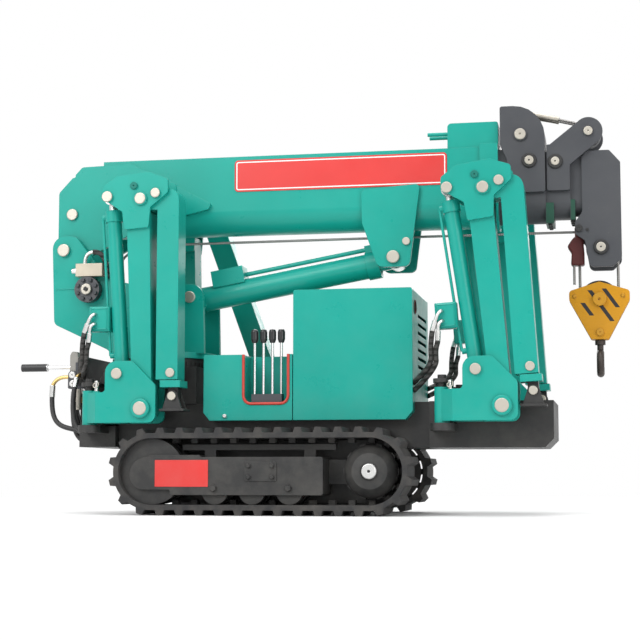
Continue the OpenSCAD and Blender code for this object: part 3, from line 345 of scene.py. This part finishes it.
def set_copies(name, master, places, finish, body):
    """Copies of a master piece, one at each matrix, joined as one piece that rides on a body."""
    copies = []
    for place in places:
        copy = master.copy()
        copy.data = master.data.copy()
        copy.data.transform(place)
        bpy.context.collection.objects.link(copy)
        copies.append(copy)
    bpy.ops.object.select_all(action="DESELECT")
    for copy in copies:
        copy.select_set(True)
    bpy.context.view_layer.objects.active = copies[0]
    if len(copies) > 1:
        bpy.ops.object.join()
    piece = bpy.context.view_layer.objects.active
    piece.name = name
    piece.data.materials.clear()
    piece.data.materials.append(finish)
    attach(piece, body)


def facing(side):
    """Turn of a head that looks along z to the right side, -1, or the left, 1."""
    return Matrix.Rotation(math.radians(-90 * side), 4, "X")


def across(x, z, y, scale=1.0):
    """Place of a head on the side face at y, facing away from the machine's middle; millimetres."""
    turn = facing(-1 if y < 0 else 1)
    return Matrix.Translation((x / 1000, y / 1000, z / 1000)) @ turn @ Matrix.Scale(scale, 4)


def both_sides(x, z, y, scale=1.0):
    """The same place on the right and on the left side."""
    return [across(x, z, y, scale), across(x, z, -y, scale)]


pin_steel = painted("pin_steel", (0.47, 0.44, 0.38), 0.36, 0.1, 0.0, metallic=0.7, bump=0.02)
HEAD_R = 20
head_20 = turned_head(HEAD_R / 1000)
drilled_20 = turned_head(HEAD_R / 1000, drilled=0.2)
DRILLED_BODIES = ("boom_second", "boom_third", "boom_tip")
# body, and for each pin its place (x, z), the side face it sits on and its radius
PINS = {
    "base": [(-933, 957, 130, 23), (-453, 774, 130, 21)],
    "boom": [(-913, 1094, 100, 21), (282, 904, 102, 23), (329, 959, 100, 14)],
    "boom_second": [(733, 1328, 92, 20), (763, 1234, 92, 16)],
    "boom_third": [(853, 1229, 83, 15), (968, 1332, 83, 16)],
    "boom_tip": [(1005, 924, 69, 17)],
}
for body, pins in PINS.items():
    set_copies("pin_heads_" + body, drilled_20 if body in DRILLED_BODIES else head_20,
               [m for x, z, y, r in pins for m in both_sides(x, z, y, r / HEAD_R)], pin_steel, body)
for body, x, z, y in (("boom_second", 763, 1234, 87), ("boom_third", 853, 1229, 78), ("boom_tip", 1005, 924, 66)):
    set_copies("pin_washer_" + body, head_20, both_sides(x, z, y, 1.3), frame_black, body)
# dark discs on the tip's plates are painted shade standing in for open holes
set_copies("tip_plate_hole_shade", drilled_20, both_sides(930, 992, 66.5, 0.65) + both_sides(959, 986, 66.5, 0.25),
           frame_black, "boom_tip")

# Leg pin heads
# Each leg has plated pins at its bracket, knee, cylinder, lock and foot, and a welded collar round the lift pin.
# The knee plates have an open hole for the stowing lock, shown as a darker teal disc of painted shade, and the lug
# that carries the foot is black.
LEG_Y, LIFT_Z, SWING_TO_LIFT = 292, 365, 204
KNEE = (-9, 732)
LUG_HALF = 20.5
# where the swing pin stands, the side, and in degrees the lean of the stowed arm and the opening of the knee
LEGS = [dict(name="rear_right", swing_x=-765, side=-1, lean=0, knee=0),
        dict(name="rear_left", swing_x=-765, side=1, lean=0, knee=20),
        dict(name="front_right", swing_x=474, side=-1, lean=3.7, knee=0),
        dict(name="front_left", swing_x=474, side=1, lean=3.7, knee=0)]


def turned_in(x, z, angle):
    """A point of the side view, turned about its origin by an angle in degrees."""
    c, s = math.cos(math.radians(angle)), math.sin(math.radians(angle))
    return x * c - z * s, x * s + z * c


def leg_point(leg, x, z, lean=True, opened=False):
    """A point of a leg's own frame, set out from its lift pin, in the machine's millimetres."""
    if opened:
        x, z = turned_in(x - KNEE[0], z - KNEE[1], leg["knee"])
        x, z = x + KNEE[0], z + KNEE[1]
    if lean:
        x, z = turned_in(x, z, leg["lean"])
    return leg["swing_x"] + SWING_TO_LIFT + x, z + LIFT_Z


def leg_heads(leg, pins, lean=True, opened=False):
    """Places of the heads on both sides of a leg; for each pin x, z, distance from the leg's middle, radius."""
    made = []
    for x, z, y, r in pins:
        at_x, at_z = leg_point(leg, x, z, lean, opened)
        for side in (-1, 1):
            at = Vector((at_x / 1000, (leg["side"] * LEG_Y + side * y) / 1000, at_z / 1000))
            made.append(Matrix.Translation(at) @ facing(side) @ Matrix.Scale(r / HEAD_R, 4))
    return made


# darker teal is painted shade: it stands for the shadowed plate seen through the open lock hole
painted_shade_teal = painted("painted_shade_teal", (0.003, 0.15, 0.12), 0.5, 0.1, 0.1, specular=0.3)
for leg in LEGS:
    name, middle = leg["name"], leg["side"] * LEG_Y
    # an open knee tips the lug, so its black ends a little lower
    lug_top = leg_point(leg, 104, 73, opened=True)[1] - 0.8 * leg["knee"]
    finish_nodes(with_patch(teal, "extension_" + name, FRAME_BLACK,
                            [("Z", "LESS_THAN", lug_top / 1000), ("Y", "LESS_THAN", (middle + LUG_HALF) / 1000),
                             ("Y", "GREATER_THAN", (middle - LUG_HALF) / 1000)]), "leg_extension_" + name)
    set_copies("lift_pin_collars_" + name, head_20, leg_heads(leg, [(0, 0, 67, 34)], lean=False),
               teal, "swing_bracket_" + name)
    set_copies("lock_holes_" + name, drilled_20, leg_heads(leg, [(-33, 778, 63, 13)]),
               painted_shade_teal, "inner_arm_" + name)
    set_copies("bracket_pin_heads_" + name, head_20,
               leg_heads(leg, [(0, 0, 71, 24), (-86, 121, 68, 19)], lean=False),
               pin_steel, "swing_bracket_" + name)
    set_copies("knee_pin_heads_" + name, head_20,
               leg_heads(leg, [(*KNEE, 66, 20), (-129, 742, 66, 19), (46, 750, 66, 17)]),
               pin_steel, "inner_arm_" + name)
    set_copies("outer_pin_heads_" + name, head_20, leg_heads(leg, [(100, 123, 48, 16)], opened=True),
               pin_steel, "outer_arm_" + name)
    set_copies("foot_pin_heads_" + name, head_20, leg_heads(leg, [(104, 43, 40, 15)], opened=True),
               pin_steel, "leg_extension_" + name)

# Bolts
# Hexagon bolts with washers hold the track frames' cover plates and roller axles, the winch's gear case and
# the control box's sheet. The drive motor and the winch end in plated caps.
def hex_bolt(r, height):
    """Bolt head on its washer, looking along z, in metres."""
    bpy.ops.object.select_all(action="DESELECT")
    bpy.ops.mesh.primitive_cylinder_add(vertices=6, radius=r, depth=height)
    bolt = bpy.context.object
    pick(bolt, outer_face)
    bpy.ops.mesh.inset(thickness=r * 0.16)
    bpy.ops.transform.translate(value=(0, 0, height * 0.25))
    pick(bolt, lambda face: face.normal.z < -0.9)
    bpy.ops.mesh.extrude_region_move(TRANSFORM_OT_translate={"value": (0, 0, -height * 0.02)})
    bpy.ops.transform.resize(value=(1.45, 1.45, 1), center_override=(0, 0, -height * 0.52))
    bpy.ops.mesh.extrude_region_move(TRANSFORM_OT_translate={"value": (0, 0, -height * 0.25)})
    bpy.ops.object.mode_set(mode="OBJECT")
    return bolt


bolt_8 = hex_bolt(0.008, 0.007)
set_copies("track_frame_bolts", bolt_8,
           [m for x in (-178, -97) for z in (130, 168) for m in both_sides(x, z, 356)]
           + [m for x in (-301, -41) for m in both_sides(x, 92, 352, 1.5)], frame_black, "base")
WINCH, WINCH_BOLT_CIRCLE = (-833, 808), 36
bolt_angles = [math.radians(45 * i + 22) for i in range(8)]
set_copies("winch_bolts", bolt_8,
           [across(WINCH[0] + WINCH_BOLT_CIRCLE * math.cos(a), WINCH[1] + WINCH_BOLT_CIRCLE * math.sin(a), -157)
            for a in bolt_angles], charcoal, "base")
set_copies("control_box_bolt", bolt_8, [across(-296, 342, -221)], bright, "base")
set_copies("winch_centre_bolt", bolt_8, [across(*WINCH, -165, 1.1)], frame_black, "base")
set_copies("winch_cap", drilled_20, [across(*WINCH, -161)], pin_steel, "base")
set_copies("drive_caps", drilled_20, both_sides(234, 149, 354, 1.3), bright, "base")

# Levers, valves and fittings
# The control levers have plated rods and black knobs on a dark valve block, the hand lever a black grip,
# the rear valve block brass fittings, and the winch a zinc-yellow brake valve on its gear case.
def banded(name, axis, bands):
    """Finish that changes along one axis: (start in metres, colour, roughness, metallic) from low to high."""
    finish = bpy.data.materials.new(name)
    finish.use_nodes = True
    tree = finish.node_tree
    surface = tree.nodes["Principled BSDF"]
    place = add_node(tree, "TexCoord")
    split = add_node(tree, "SeparateXYZ")
    grain = add_node(tree, "TexNoise", {"Scale": 30.0, "Detail": 5.0, "Roughness": 0.6})
    tree.links.new(place.outputs["Object"], split.inputs["Vector"])
    tree.links.new(place.outputs["Object"], grain.inputs["Vector"])
    colour = rough = metal = None
    for start, shade, roughness, metallic in bands:
        darker, lighter = [c * 0.86 for c in shade], [min(1, c * 1.14) for c in shade]
        rgb = mixed(tree, "RGBA", grain.outputs["Fac"], (*darker, 1), (*lighter, 1))
        vary = add_node(tree, "MapRange", {"To Min": roughness - 0.08, "To Max": roughness + 0.1})
        tree.links.new(grain.outputs["Fac"], vary.inputs["Value"])
        shine = add_node(tree, "Value")
        shine.outputs[0].default_value = metallic
        if colour is None:
            colour, rough, metal = rgb, vary.outputs["Result"], shine.outputs[0]
            continue
        above = add_node(tree, "Math", {1: start}, operation="GREATER_THAN")
        tree.links.new(split.outputs[axis], above.inputs[0])
        colour = mixed(tree, "RGBA", above.outputs[0], colour, rgb)
        rough = mixed(tree, "FLOAT", above.outputs[0], rough, vary.outputs["Result"])
        metal = mixed(tree, "FLOAT", above.outputs[0], metal, shine.outputs[0])
    tree.links.new(colour, surface.inputs["Base Color"])
    tree.links.new(rough, surface.inputs["Roughness"])
    tree.links.new(metal, surface.inputs["Metallic"])
    return finish


CHARCOAL, CHROME, KNOB = (0.040, 0.043, 0.050), (0.66, 0.66, 0.66), (0.012, 0.012, 0.013)
BRASS, ZINC = (0.62, 0.44, 0.16), (0.50, 0.44, 0.35)
finish_nodes(banded("lever_finish", "Z", [(0, CHARCOAL, 0.5, 0.0), (0.419, CHROME, 0.16, 1.0),
                                          (0.598, KNOB, 0.3, 0.0)]), "control_levers")
finish_nodes(banded("hand_lever_finish", "X", [(-2, KNOB, 0.45, 0.0), (-1.001, CHROME, 0.18, 1.0)]), "hand_lever")
finish_nodes(banded("valve_finish", "Z", [(0, BRASS, 0.32, 1.0), (0.4195, CHARCOAL, 0.5, 0.0)]), "rear_manifold")
finish_nodes(banded("winch_finish", "Z", [(0, (0.07, 0.072, 0.078), 0.45, 0.3), (0.8555, ZINC, 0.45, 0.3)]), "winch")

# Hook block and hook
# Cast cheeks in yellow with three slanting black bars and yellow pin bosses, a dark grooved sheave between
# them, and a forged hook with a brown, oiled skin.
hook_yellow = painted("hook_yellow", (0.55, 0.25, 0.003), 0.40, 0.10, 0.5, coat=0.05, specular=0.3)
tree = hook_yellow.node_tree
surface = tree.nodes["Principled BSDF"]
yellow_skin = surface.inputs["Base Color"].links[0].from_socket
place = add_node(tree, "TexCoord")
split = add_node(tree, "SeparateXYZ")
tree.links.new(place.outputs["Object"], split.inputs["Vector"])
# the bars lie across this direction in the side view
SLANT_X, SLANT_Z = 0.82, 0.57
BAR_HALF, SHEAVE_HALF = 0.0065, 0.0168
level = add_node(tree, "Math", {1: SLANT_X}, operation="MULTIPLY")
slant = add_node(tree, "Math", {1: SLANT_Z}, operation="MULTIPLY_ADD")
tree.links.new(split.outputs["X"], level.inputs[0])
tree.links.new(split.outputs["Z"], slant.inputs[0])
tree.links.new(level.outputs[0], slant.inputs[2])
aside = add_node(tree, "Math", operation="ABSOLUTE")
sheave = add_node(tree, "Math", {1: SHEAVE_HALF}, operation="LESS_THAN")
tree.links.new(split.outputs["Y"], aside.inputs[0])
tree.links.new(aside.outputs[0], sheave.inputs[0])
dark = sheave.outputs[0]
# for each bar: its place across the slant, its lower and its upper end
for at, low, high in ((1.1875, 0.689, 0.734), (1.233, 0.668, 0.778), (1.276, 0.716, 0.783)):
    bar = add_node(tree, "Math", {1: at, 2: BAR_HALF}, operation="COMPARE")
    reach = add_node(tree, "Math", {1: (low + high) / 2, 2: (high - low) / 2}, operation="COMPARE")
    both = add_node(tree, "Math", operation="MULTIPLY")
    either = add_node(tree, "Math", operation="MAXIMUM")
    tree.links.new(slant.outputs[0], bar.inputs[0])
    tree.links.new(split.outputs["Z"], reach.inputs[0])
    tree.links.new(bar.outputs[0], both.inputs[0])
    tree.links.new(reach.outputs[0], both.inputs[1])
    tree.links.new(dark, either.inputs[0])
    tree.links.new(both.outputs[0], either.inputs[1])
    dark = either.outputs[0]
BAR_BLACK = (0.020, 0.019, 0.019, 1)
tree.links.new(mixed(tree, "RGBA", dark, yellow_skin, BAR_BLACK), surface.inputs["Base Color"])
finish_nodes(hook_yellow, "hook_block")
boss_yellow = painted("boss_yellow", (0.50, 0.24, 0.012), 0.40, 0.15, 0.8, coat=0.05, specular=0.3)
set_copies("hook_block_bosses", drilled_20, both_sides(996, 745, 41, 1.2) + both_sides(996, 630, 35, 0.65),
           boss_yellow, "hook_block")
set_copies("hook_block_bolts", bolt_8, [m for x in (910, 1076) for m in both_sides(x, 757, 32, 0.8)],
           boss_yellow, "hook_block")
forged = painted("forged_brown", (0.038, 0.029, 0.025), 0.45, 0.2, 0.5, metallic=0.5,
                 primer=(0.25, 0.22, 0.2), bump=0.2)
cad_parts["hook"].material_slots[0].material = forged

# Red panels
# A long enamelled panel with a white line round it is fixed to the boom's right side, and a plain red one
# to the right track frame. Both are blank. Behind the rollers a dark sheet in each track frame is painted shade.
red = painted("red_enamel", (0.60, 0.022, 0.018), 0.34, 0.06, 0.0, coat=0.25, bump=0.02)
line_white = painted("white_line", (0.80, 0.80, 0.78), 0.4, 0.06, 0.0, bump=0.02)
PANEL_THICK = 0.002


def side_panel(name, x0, x1, z0, z1, y, corner, finish, body, line=None):
    """Sheet on the side face at y, with round corners; line is a white line's distance in and its width; mm."""
    bpy.ops.object.select_all(action="DESELECT")
    bpy.ops.mesh.primitive_plane_add(size=1, location=((x0 + x1) / 2000, y / 1000, (z0 + z1) / 2000),
                                     rotation=(math.radians(90), 0, 0))
    panel = bpy.context.object
    panel.name = name
    panel.scale = ((x1 - x0) / 1000, (z1 - z0) / 1000, 1)
    bpy.ops.object.transform_apply(location=True, rotation=True, scale=True)
    panel.data.materials.append(finish)
    bpy.ops.object.mode_set(mode="EDIT")
    bpy.ops.mesh.select_all(action="SELECT")
    bpy.ops.mesh.bevel(offset=corner / 1000, segments=12, affect="VERTICES")
    bpy.ops.mesh.select_all(action="SELECT")
    bpy.ops.mesh.extrude_region_move(TRANSFORM_OT_translate={"value": (0, -PANEL_THICK, 0)})
    if line:
        bpy.ops.mesh.inset(thickness=line[0] / 1000)
        bpy.ops.mesh.inset(thickness=line[1] / 1000)
    bpy.ops.mesh.select_all(action="SELECT")
    bpy.ops.mesh.normals_make_consistent(inside=False)
    bpy.ops.object.mode_set(mode="OBJECT")
    if line:
        # the ring between the two insets is the white line
        panel.data.materials.append(line_white)
        depth = line[0] / 1000
        for face in panel.data.polygons:
            edge = min(face.center.x - x0 / 1000, x1 / 1000 - face.center.x,
                       face.center.z - z0 / 1000, z1 / 1000 - face.center.z)
            if face.normal.y < -0.9 and depth * 0.98 < edge < depth + line[1] / 1000:
                face.material_index = 1
    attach(panel, body)


side_panel("boom_panel", -300, 474, 1160, 1276, -79.9, 14, red, "boom", line=(6, 4))
side_panel("track_panel", -508, -320, 97, 188, -347.9, 1.5, red, "base")
# dark sheets of painted shade inside the track frames, not plates of the machine
for name, y in (("track_shade_sheet_right", -186), ("track_shade_sheet_left", 188)):
    side_panel(name, -630, 341, 41, 257, y, 107, frame_black, "base")

# Lever recess trim
# A red moulded edge strip is pressed over the sheet's edge, down both sides of the recess and along its foot.
def tube(name, points, radius, finish, body, rounding=6, smooth=False):
    """Round bar, pipe, hose or rope along points in millimetres; it rides on the body, if one is given."""
    route = bpy.data.curves.new(name, "CURVE")
    route.dimensions = "3D"
    route.bevel_depth = radius / 1000
    route.bevel_resolution = rounding
    route.use_fill_caps = True
    route.resolution_u = 8
    spline = route.splines.new("NURBS" if smooth else "POLY")
    spline.points.add(len(points) - 1)
    for point, at in zip(spline.points, points):
        point.co = (at[0] / 1000, at[1] / 1000, at[2] / 1000, 1)
    if smooth:
        spline.order_u = 4
        spline.use_endpoint_u = True
    piece = bpy.data.objects.new(name, route)
    bpy.context.collection.objects.link(piece)
    bpy.ops.object.select_all(action="DESELECT")
    piece.select_set(True)
    bpy.context.view_layer.objects.active = piece
    bpy.ops.object.convert(target="MESH")
    bpy.ops.object.shade_smooth_by_angle(angle=math.radians(40))
    piece.data.materials.clear()
    piece.data.materials.append(finish)
    if body:
        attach(piece, body)
    return piece


trim_red = painted("trim_red", (0.50, 0.035, 0.02), 0.42, 0.1, 0.2, bump=0.03)
TRIM_Y = -219
TRIM_ROUTE = [(-230, 556), (-230, 412), (-228, 402), (-222, 392), (-213, 386), (-204, 384),
              (-96, 384), (-87, 386), (-78, 392), (-72, 402), (-70, 412), (-70, 556)]
tube("recess_trim", [(x, TRIM_Y, z) for x, z in TRIM_ROUTE], 5, trim_red, "base")

# Hoist rope
# Wire rope runs from the drum up to the boom's foot and forward under the sections to the tip's sheave. The
# dead end hangs in its wedge socket. Two ropes with swaged sockets pull the third section out.
wire = painted("wire_rope", (0.30, 0.29, 0.28), 0.42, 0.25, 0.0, metallic=0.9, bump=0.02)
tree = wire.node_tree
surface = tree.nodes["Principled BSDF"]
place = add_node(tree, "TexCoord")
strand = add_node(tree, "TexWave", {"Scale": 90.0, "Distortion": 0.4}, wave_type="BANDS", bands_direction="DIAGONAL")
lay = add_node(tree, "Bump", {"Strength": 0.8, "Distance": 0.0012})
tree.links.new(place.outputs["Object"], strand.inputs["Vector"])
tree.links.new(strand.outputs["Fac"], lay.inputs["Height"])
tree.links.new(lay.outputs["Normal"], surface.inputs["Normal"])
finish_nodes(wire, "hoist_rope")
ROPE_R, ROPE_Z = 4.5, 988
tube("boom_rope", [(-690, 0, 985), (-501, 0, 986), (184, 0, ROPE_Z), (640, 0, ROPE_Z)], ROPE_R, wire, "boom")
# the run on from the base section: name, bodies at its ends, start and end along the boom
for name, rear, front, x0, x1 in (("rope_to_second", "boom", "boom_second", 640, 815),
                                  ("rope_to_third", "boom_second", "boom_third", 815, 900),
                                  ("rope_to_tip", "boom_third", "boom_tip", 900, 985)):
    run = tube(name, [(x0 + (x1 - x0) * i / 4, 0, ROPE_Z) for i in range(5)], ROPE_R, wire, None)
    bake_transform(run)
for i, y in enumerate((-15, 15)):
    points = [(770, y, 1413), (815, y, 1403), (870, y, 1390), (920, y, 1377), (962, y, 1365)]
    pull = tube("extension_rope_%d" % (i + 1), points, ROPE_R, wire, None)
    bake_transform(pull)
    tube("rope_socket_%d" % (i + 1), [(772, y, 1412.5), (815, y, 1403), (866, y, 1391)], 10.5, pin_steel,
         "boom_second")
drum_rope = tube("drum_rope", [(-800, 0, 846), (-790, 0, 870), (-770, 0, 905), (-740, 0, 945), (-690, 0, 985)],
                 ROPE_R, wire, None)
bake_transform(drum_rope)
dead_end = tube("dead_end_rope", [(930, 0, 799 + 10 * i) for i in range(10)], 5, wire, None)
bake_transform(dead_end)

# Wedge socket and pad bolts
# The cast socket widens to hold the wedge, and the rope's short tail hangs beside the fall. Black bolts hold
# the slide pads from below.
def cut_plate(name, outline, y, half, finish, body, soft):
    """Plate with an outline in the machine's side view, from y - half to y + half, in mm; soft edges in metres."""
    bpy.ops.object.select_all(action="DESELECT")
    bpy.ops.mesh.primitive_circle_add(vertices=len(outline), fill_type="NGON")
    plate = bpy.context.object
    plate.name = name
    for vertex, (x, z) in zip(plate.data.vertices, outline):
        vertex.co = (x / 1000, (y - half) / 1000, z / 1000)
    bpy.ops.object.mode_set(mode="EDIT")
    bpy.ops.mesh.select_all(action="SELECT")
    bpy.ops.mesh.extrude_region_move(TRANSFORM_OT_translate={"value": (0, half / 500, 0)})
    bpy.ops.mesh.select_all(action="SELECT")
    bpy.ops.mesh.normals_make_consistent(inside=False)
    bpy.ops.mesh.bevel(offset=soft, segments=2, affect="EDGES")
    bpy.ops.object.mode_set(mode="OBJECT")
    plate.data.materials.append(finish)
    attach(plate, body)


socket_red = painted("socket_red", SOCKET_RED, 0.5, 0.1, 0.4, specular=0.3)
SOCKET_OUTLINE = [(921, 974), (942, 962), (947, 920), (947, 868), (900, 868), (903, 912), (888, 935), (906, 962)]
cut_plate("wedge_socket", SOCKET_OUTLINE, 0, 24, socket_red, "boom_tip", soft=0.006)
rope_tail = tube("rope_tail", [(911, -13, 800 + 10 * i) for i in range(8)], ROPE_R, wire, None)
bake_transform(rope_tail)
head_down = Matrix.Rotation(math.pi, 4, "X")
for body, x, z in (("boom_second", 832, 1011), ("boom_third", 911, 1022)):
    set_copies("pad_bolts_" + body, bolt_8,
               [Matrix.Translation((x / 1000, y, z / 1000)) @ head_down for y in (-0.045, 0, 0.045)],
               frame_black, body)

# Leg valves and hoses
# Each leg cylinder has a holding valve block on its pipe, with two plated elbows. Hoses in spiral guards drop
# from them to the chassis.
guard = painted("spiral_guard", (0.020, 0.019, 0.018), 0.6, 0.5, 0.0, dust=(0.16, 0.15, 0.13))
tree = guard.node_tree
place = add_node(tree, "TexCoord")
coil = add_node(tree, "TexWave", {"Scale": 16.0}, wave_type="BANDS", bands_direction="Z")
ridge = add_node(tree, "Bump", {"Strength": 1.0, "Distance": 0.006})
tree.links.new(place.outputs["Object"], coil.inputs["Vector"])
tree.links.new(coil.outputs["Fac"], ridge.inputs["Height"])
tree.links.new(ridge.outputs["Normal"], tree.nodes["Principled BSDF"].inputs["Normal"])


def leg_place(leg, x, z, out):
    """A point of a leg's own frame and its distance out from the leg's middle, in the machine's millimetres."""
    at_x, at_z = leg_point(leg, x, z)
    return at_x, leg["side"] * (LEG_Y + out), at_z


def metres(point):
    return tuple(c / 1000 for c in point)


def valve_block(name, leg, centre, size):
    """Cast block on a leg's cylinder: its middle in the leg's own frame, and its size, in millimetres."""
    bpy.ops.object.select_all(action="DESELECT")
    bpy.ops.mesh.primitive_cube_add(size=1)
    block = bpy.context.object
    block.name = name
    bpy.ops.object.mode_set(mode="EDIT")
    bpy.ops.mesh.select_all(action="SELECT")
    bpy.ops.transform.resize(value=[c / 1000 for c in size], center_override=(0, 0, 0))
    bpy.ops.mesh.bevel(offset=0.003, segments=2, affect="EDGES")
    bpy.ops.object.mode_set(mode="OBJECT")
    # a raised port boss on the outer face
    pick(block, lambda face: face.normal.y * leg["side"] > 0.9)
    bpy.ops.mesh.inset(thickness=0.008)
    bpy.ops.transform.translate(value=(0, leg["side"] * 0.004, 0))
    bpy.ops.object.mode_set(mode="OBJECT")
    turn = Matrix.Rotation(math.radians(-leg["lean"]), 4, "Y")
    block.data.transform(Matrix.Translation(metres(leg_place(leg, *centre))) @ turn)
    block.data.materials.append(teal)
    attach(block, "leg_cylinder_" + leg["name"])


VALVE_AT, VALVE_SIZE = (-166, 316, 0), (74, 48, 88)
HOSE_R = 9
# where each leg's hoses reach the chassis
HOSE_ENDS = {"rear_right": (-850, -121, 515), "rear_left": (-850, 21, 515),
             "front_right": (367, -196, 452), "front_left": (367, 196, 452)}
for leg in LEGS:
    name = leg["name"]
    valve_block("valve_block_" + name, leg, VALVE_AT, VALVE_SIZE)
    for i, (z, shift) in enumerate(((332, 0), (298, 16))):
        tube("valve_elbow_%d_%s" % (i + 1, name),
             [leg_place(leg, -178, z, 24), leg_place(leg, -178, z, 38), leg_place(leg, -184, z - 3, 44),
              leg_place(leg, -194, z - 14, 44), leg_place(leg, -202 + shift / 2, z - 34, 42)], 6, bright,
             "leg_cylinder_" + name, smooth=True)
        ferrule = [leg_place(leg, -202 + shift / 2, z - 34, 42), leg_place(leg, -214 + shift, z - 66, 40)]
        tube("hose_ferrule_%d_%s" % (i + 1, name), ferrule, 9, bright, "leg_cylinder_" + name)
        middle = leg_place(leg, -226 + shift, 180 - 14 * i, 26)
        upper = tube("leg_hose_%d_%s" % (i + 1, name),
                     [ferrule[1], leg_place(leg, -220 + shift, z - 90, 38),
                      leg_place(leg, -225 + shift, 215, 32), middle], HOSE_R, guard, None, smooth=True)
        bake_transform(upper)
        last = HOSE_ENDS[name]
        last = (last[0], last[1], last[2] - 26 * i)
        lower = tube("chassis_hose_%d_%s" % (i + 1, name),
                     [middle, leg_place(leg, -230 + shift, 140, 18),
                      ((middle[0] + last[0]) / 2 - 12, (middle[1] + last[1]) / 2, last[2] + 20), last],
                     HOSE_R, guard, None, smooth=True)
        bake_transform(lower)
    # locking pin through the bracket's head, with its spring clip
    tube("lock_collar_" + name, [leg_place(leg, -168, 44, 36), leg_place(leg, -168, 62, 36)], 13, teal,
         "swing_bracket_" + name)
    tube("lock_pin_" + name, [leg_place(leg, -168, 28, 36), leg_place(leg, -168, 98, 36)], 7, bright,
         "swing_bracket_" + name)
    tube("lock_clip_" + name,
         [leg_place(leg, -168 - 11 * math.sin(0.9 * i), 80 + 11 * math.cos(0.9 * i) + i, 45) for i in range(7)],
         1.8, pin_steel, "swing_bracket_" + name, rounding=3, smooth=True)

# Rear hydraulics
# The hand lever stands in a cast socket on a valve body, bolted to the rear valve block beside a black plate. Brass
# elbows and plated ferrules lead to hoses that loop to the deck, caps close other ports, and a switch hangs below.
hose_black = painted("hose_rubber", (0.014, 0.014, 0.015), 0.55, 0.25, 0.0, bump=0.2, dust=(0.2, 0.19, 0.17))
brass = painted("brass_fitting", (0.60, 0.43, 0.17), 0.34, 0.1, 0.0, metallic=1.0, bump=0.02)
# for each hose: the elbow out of the block, the ferrule's lower end, the loop down to the deck's rear face
REAR_HOSES = [
    ([(-900, -106, 490), (-935, -106, 497), (-962, -108, 490), (-973, -110, 462)], (-975, -110, 420),
     [(-974, -112, 370), (-960, -116, 328), (-918, -121, 306), (-862, -126, 298), (-832, -128, 288)]),
    ([(-880, -78, 455), (-898, -78, 456), (-904, -78, 440)], (-905, -79, 404),
     [(-905, -80, 350), (-898, -84, 292), (-868, -90, 258), (-832, -96, 256)]),
    ([(-860, -117, 500), (-860, -142, 500), (-866, -152, 488)], (-872, -157, 452),
     [(-878, -160, 395), (-874, -166, 335), (-852, -172, 300), (-832, -178, 284)]),
    ([(-880, -30, 470), (-903, -30, 471), (-913, -28, 456)], (-914, -27, 424),
     [(-914, -24, 360), (-905, -16, 300), (-870, -8, 272), (-832, 0, 268)]),
]
for i, (elbow, low, loop) in enumerate(REAR_HOSES):
    tube("rear_elbow_%d" % (i + 1), elbow, 7, brass, "base", smooth=True)
    tube("rear_ferrule_%d" % (i + 1), [elbow[-1], low], 10.5, bright, "base")
    tube("rear_loop_%d" % (i + 1), [low] + loop, HOSE_R, hose_black, "base", smooth=True)
cast_grey = painted("cast_grey", (0.27, 0.26, 0.24), 0.5, 0.2, 0.3, metallic=0.3, bump=0.2)
cut_plate("lever_socket", [(-909, 508), (-876, 508), (-872, 560), (-880, 584), (-902, 586), (-909, 572)], -90, 22,
          cast_grey, "base", soft=0.005)
cut_plate("rear_valve_body", [(-912, 450), (-878, 446), (-878, 514), (-905, 514), (-912, 504)], -98, 24,
          charcoal, "base", soft=0.004)
cut_plate("rear_valve_plate", [(-872, 462), (-834, 462), (-834, 560), (-852, 572), (-872, 560)], -123, 4,
          frame_black, "base", soft=0.001)
set_copies("rear_valve_caps", drilled_20,
           [across(-895, 499, -122, 0.62), across(-893, 468, -122, 0.62), across(-853, 440, -121, 0.5)],
           bright, "base")
tube("rear_switch", [(-866, -127, 447), (-866, -127, 400), (-866, -127, 372)], 9, pin_steel, "base")
tube("rear_switch_wire", [(-866, -127, 373), (-864, -128, 345), (-852, -130, 312), (-832, -132, 300)], 3,
     hose_black, "base", smooth=True)

# Winch valve fittings
# The brake valve has a turned plug at its rear end and an elbow on top, with a hose to the winch's case. A
# weld line runs across each side of the post.
plug = turned_head(0.011, height=0.014)
rearward = Matrix.Rotation(math.radians(-90), 4, "Y")
set_copies("valve_plug", plug, [Matrix.Translation((-0.880, -0.140, 0.877)) @ rearward], bright, "base")
bpy.data.objects.remove(plug)
tube("valve_elbow", [(-846, -140, 900), (-846, -140, 928), (-840, -140, 943), (-815, -140, 946)], 7, bright, "base",
     smooth=True)
tube("valve_hose", [(-815, -140, 946), (-790, -140, 946), (-770, -138, 925), (-764, -133, 880), (-764, -124, 850)],
     HOSE_R, guard, "base", smooth=True)
for i, side in enumerate((-1, 1)):
    tube("post_weld_%d" % (i + 1), [(-964 + 8 * k, side * 120, 814 + (k % 2)) for k in range(11)], 3, teal,
         "base", rounding=3)

# Exhaust ring
# A thin red collar seals the exhaust's opening in the engine cover's front face.
EXHAUST, EXHAUST_R = (366, -148, 718), 23
ring_angles = [math.radians(15 * i) for i in range(25)]
tube("exhaust_ring", [(EXHAUST[0], EXHAUST[1] + EXHAUST_R * math.cos(a), EXHAUST[2] + EXHAUST_R * math.sin(a))
                      for a in ring_angles], 2.5, socket_red, "base")

# Masters
# The heads and the bolt that were copied are no part of the machine, so they go once the last copy is set.
for master in (head_20, drilled_20, bolt_8):
    bpy.data.objects.remove(master)
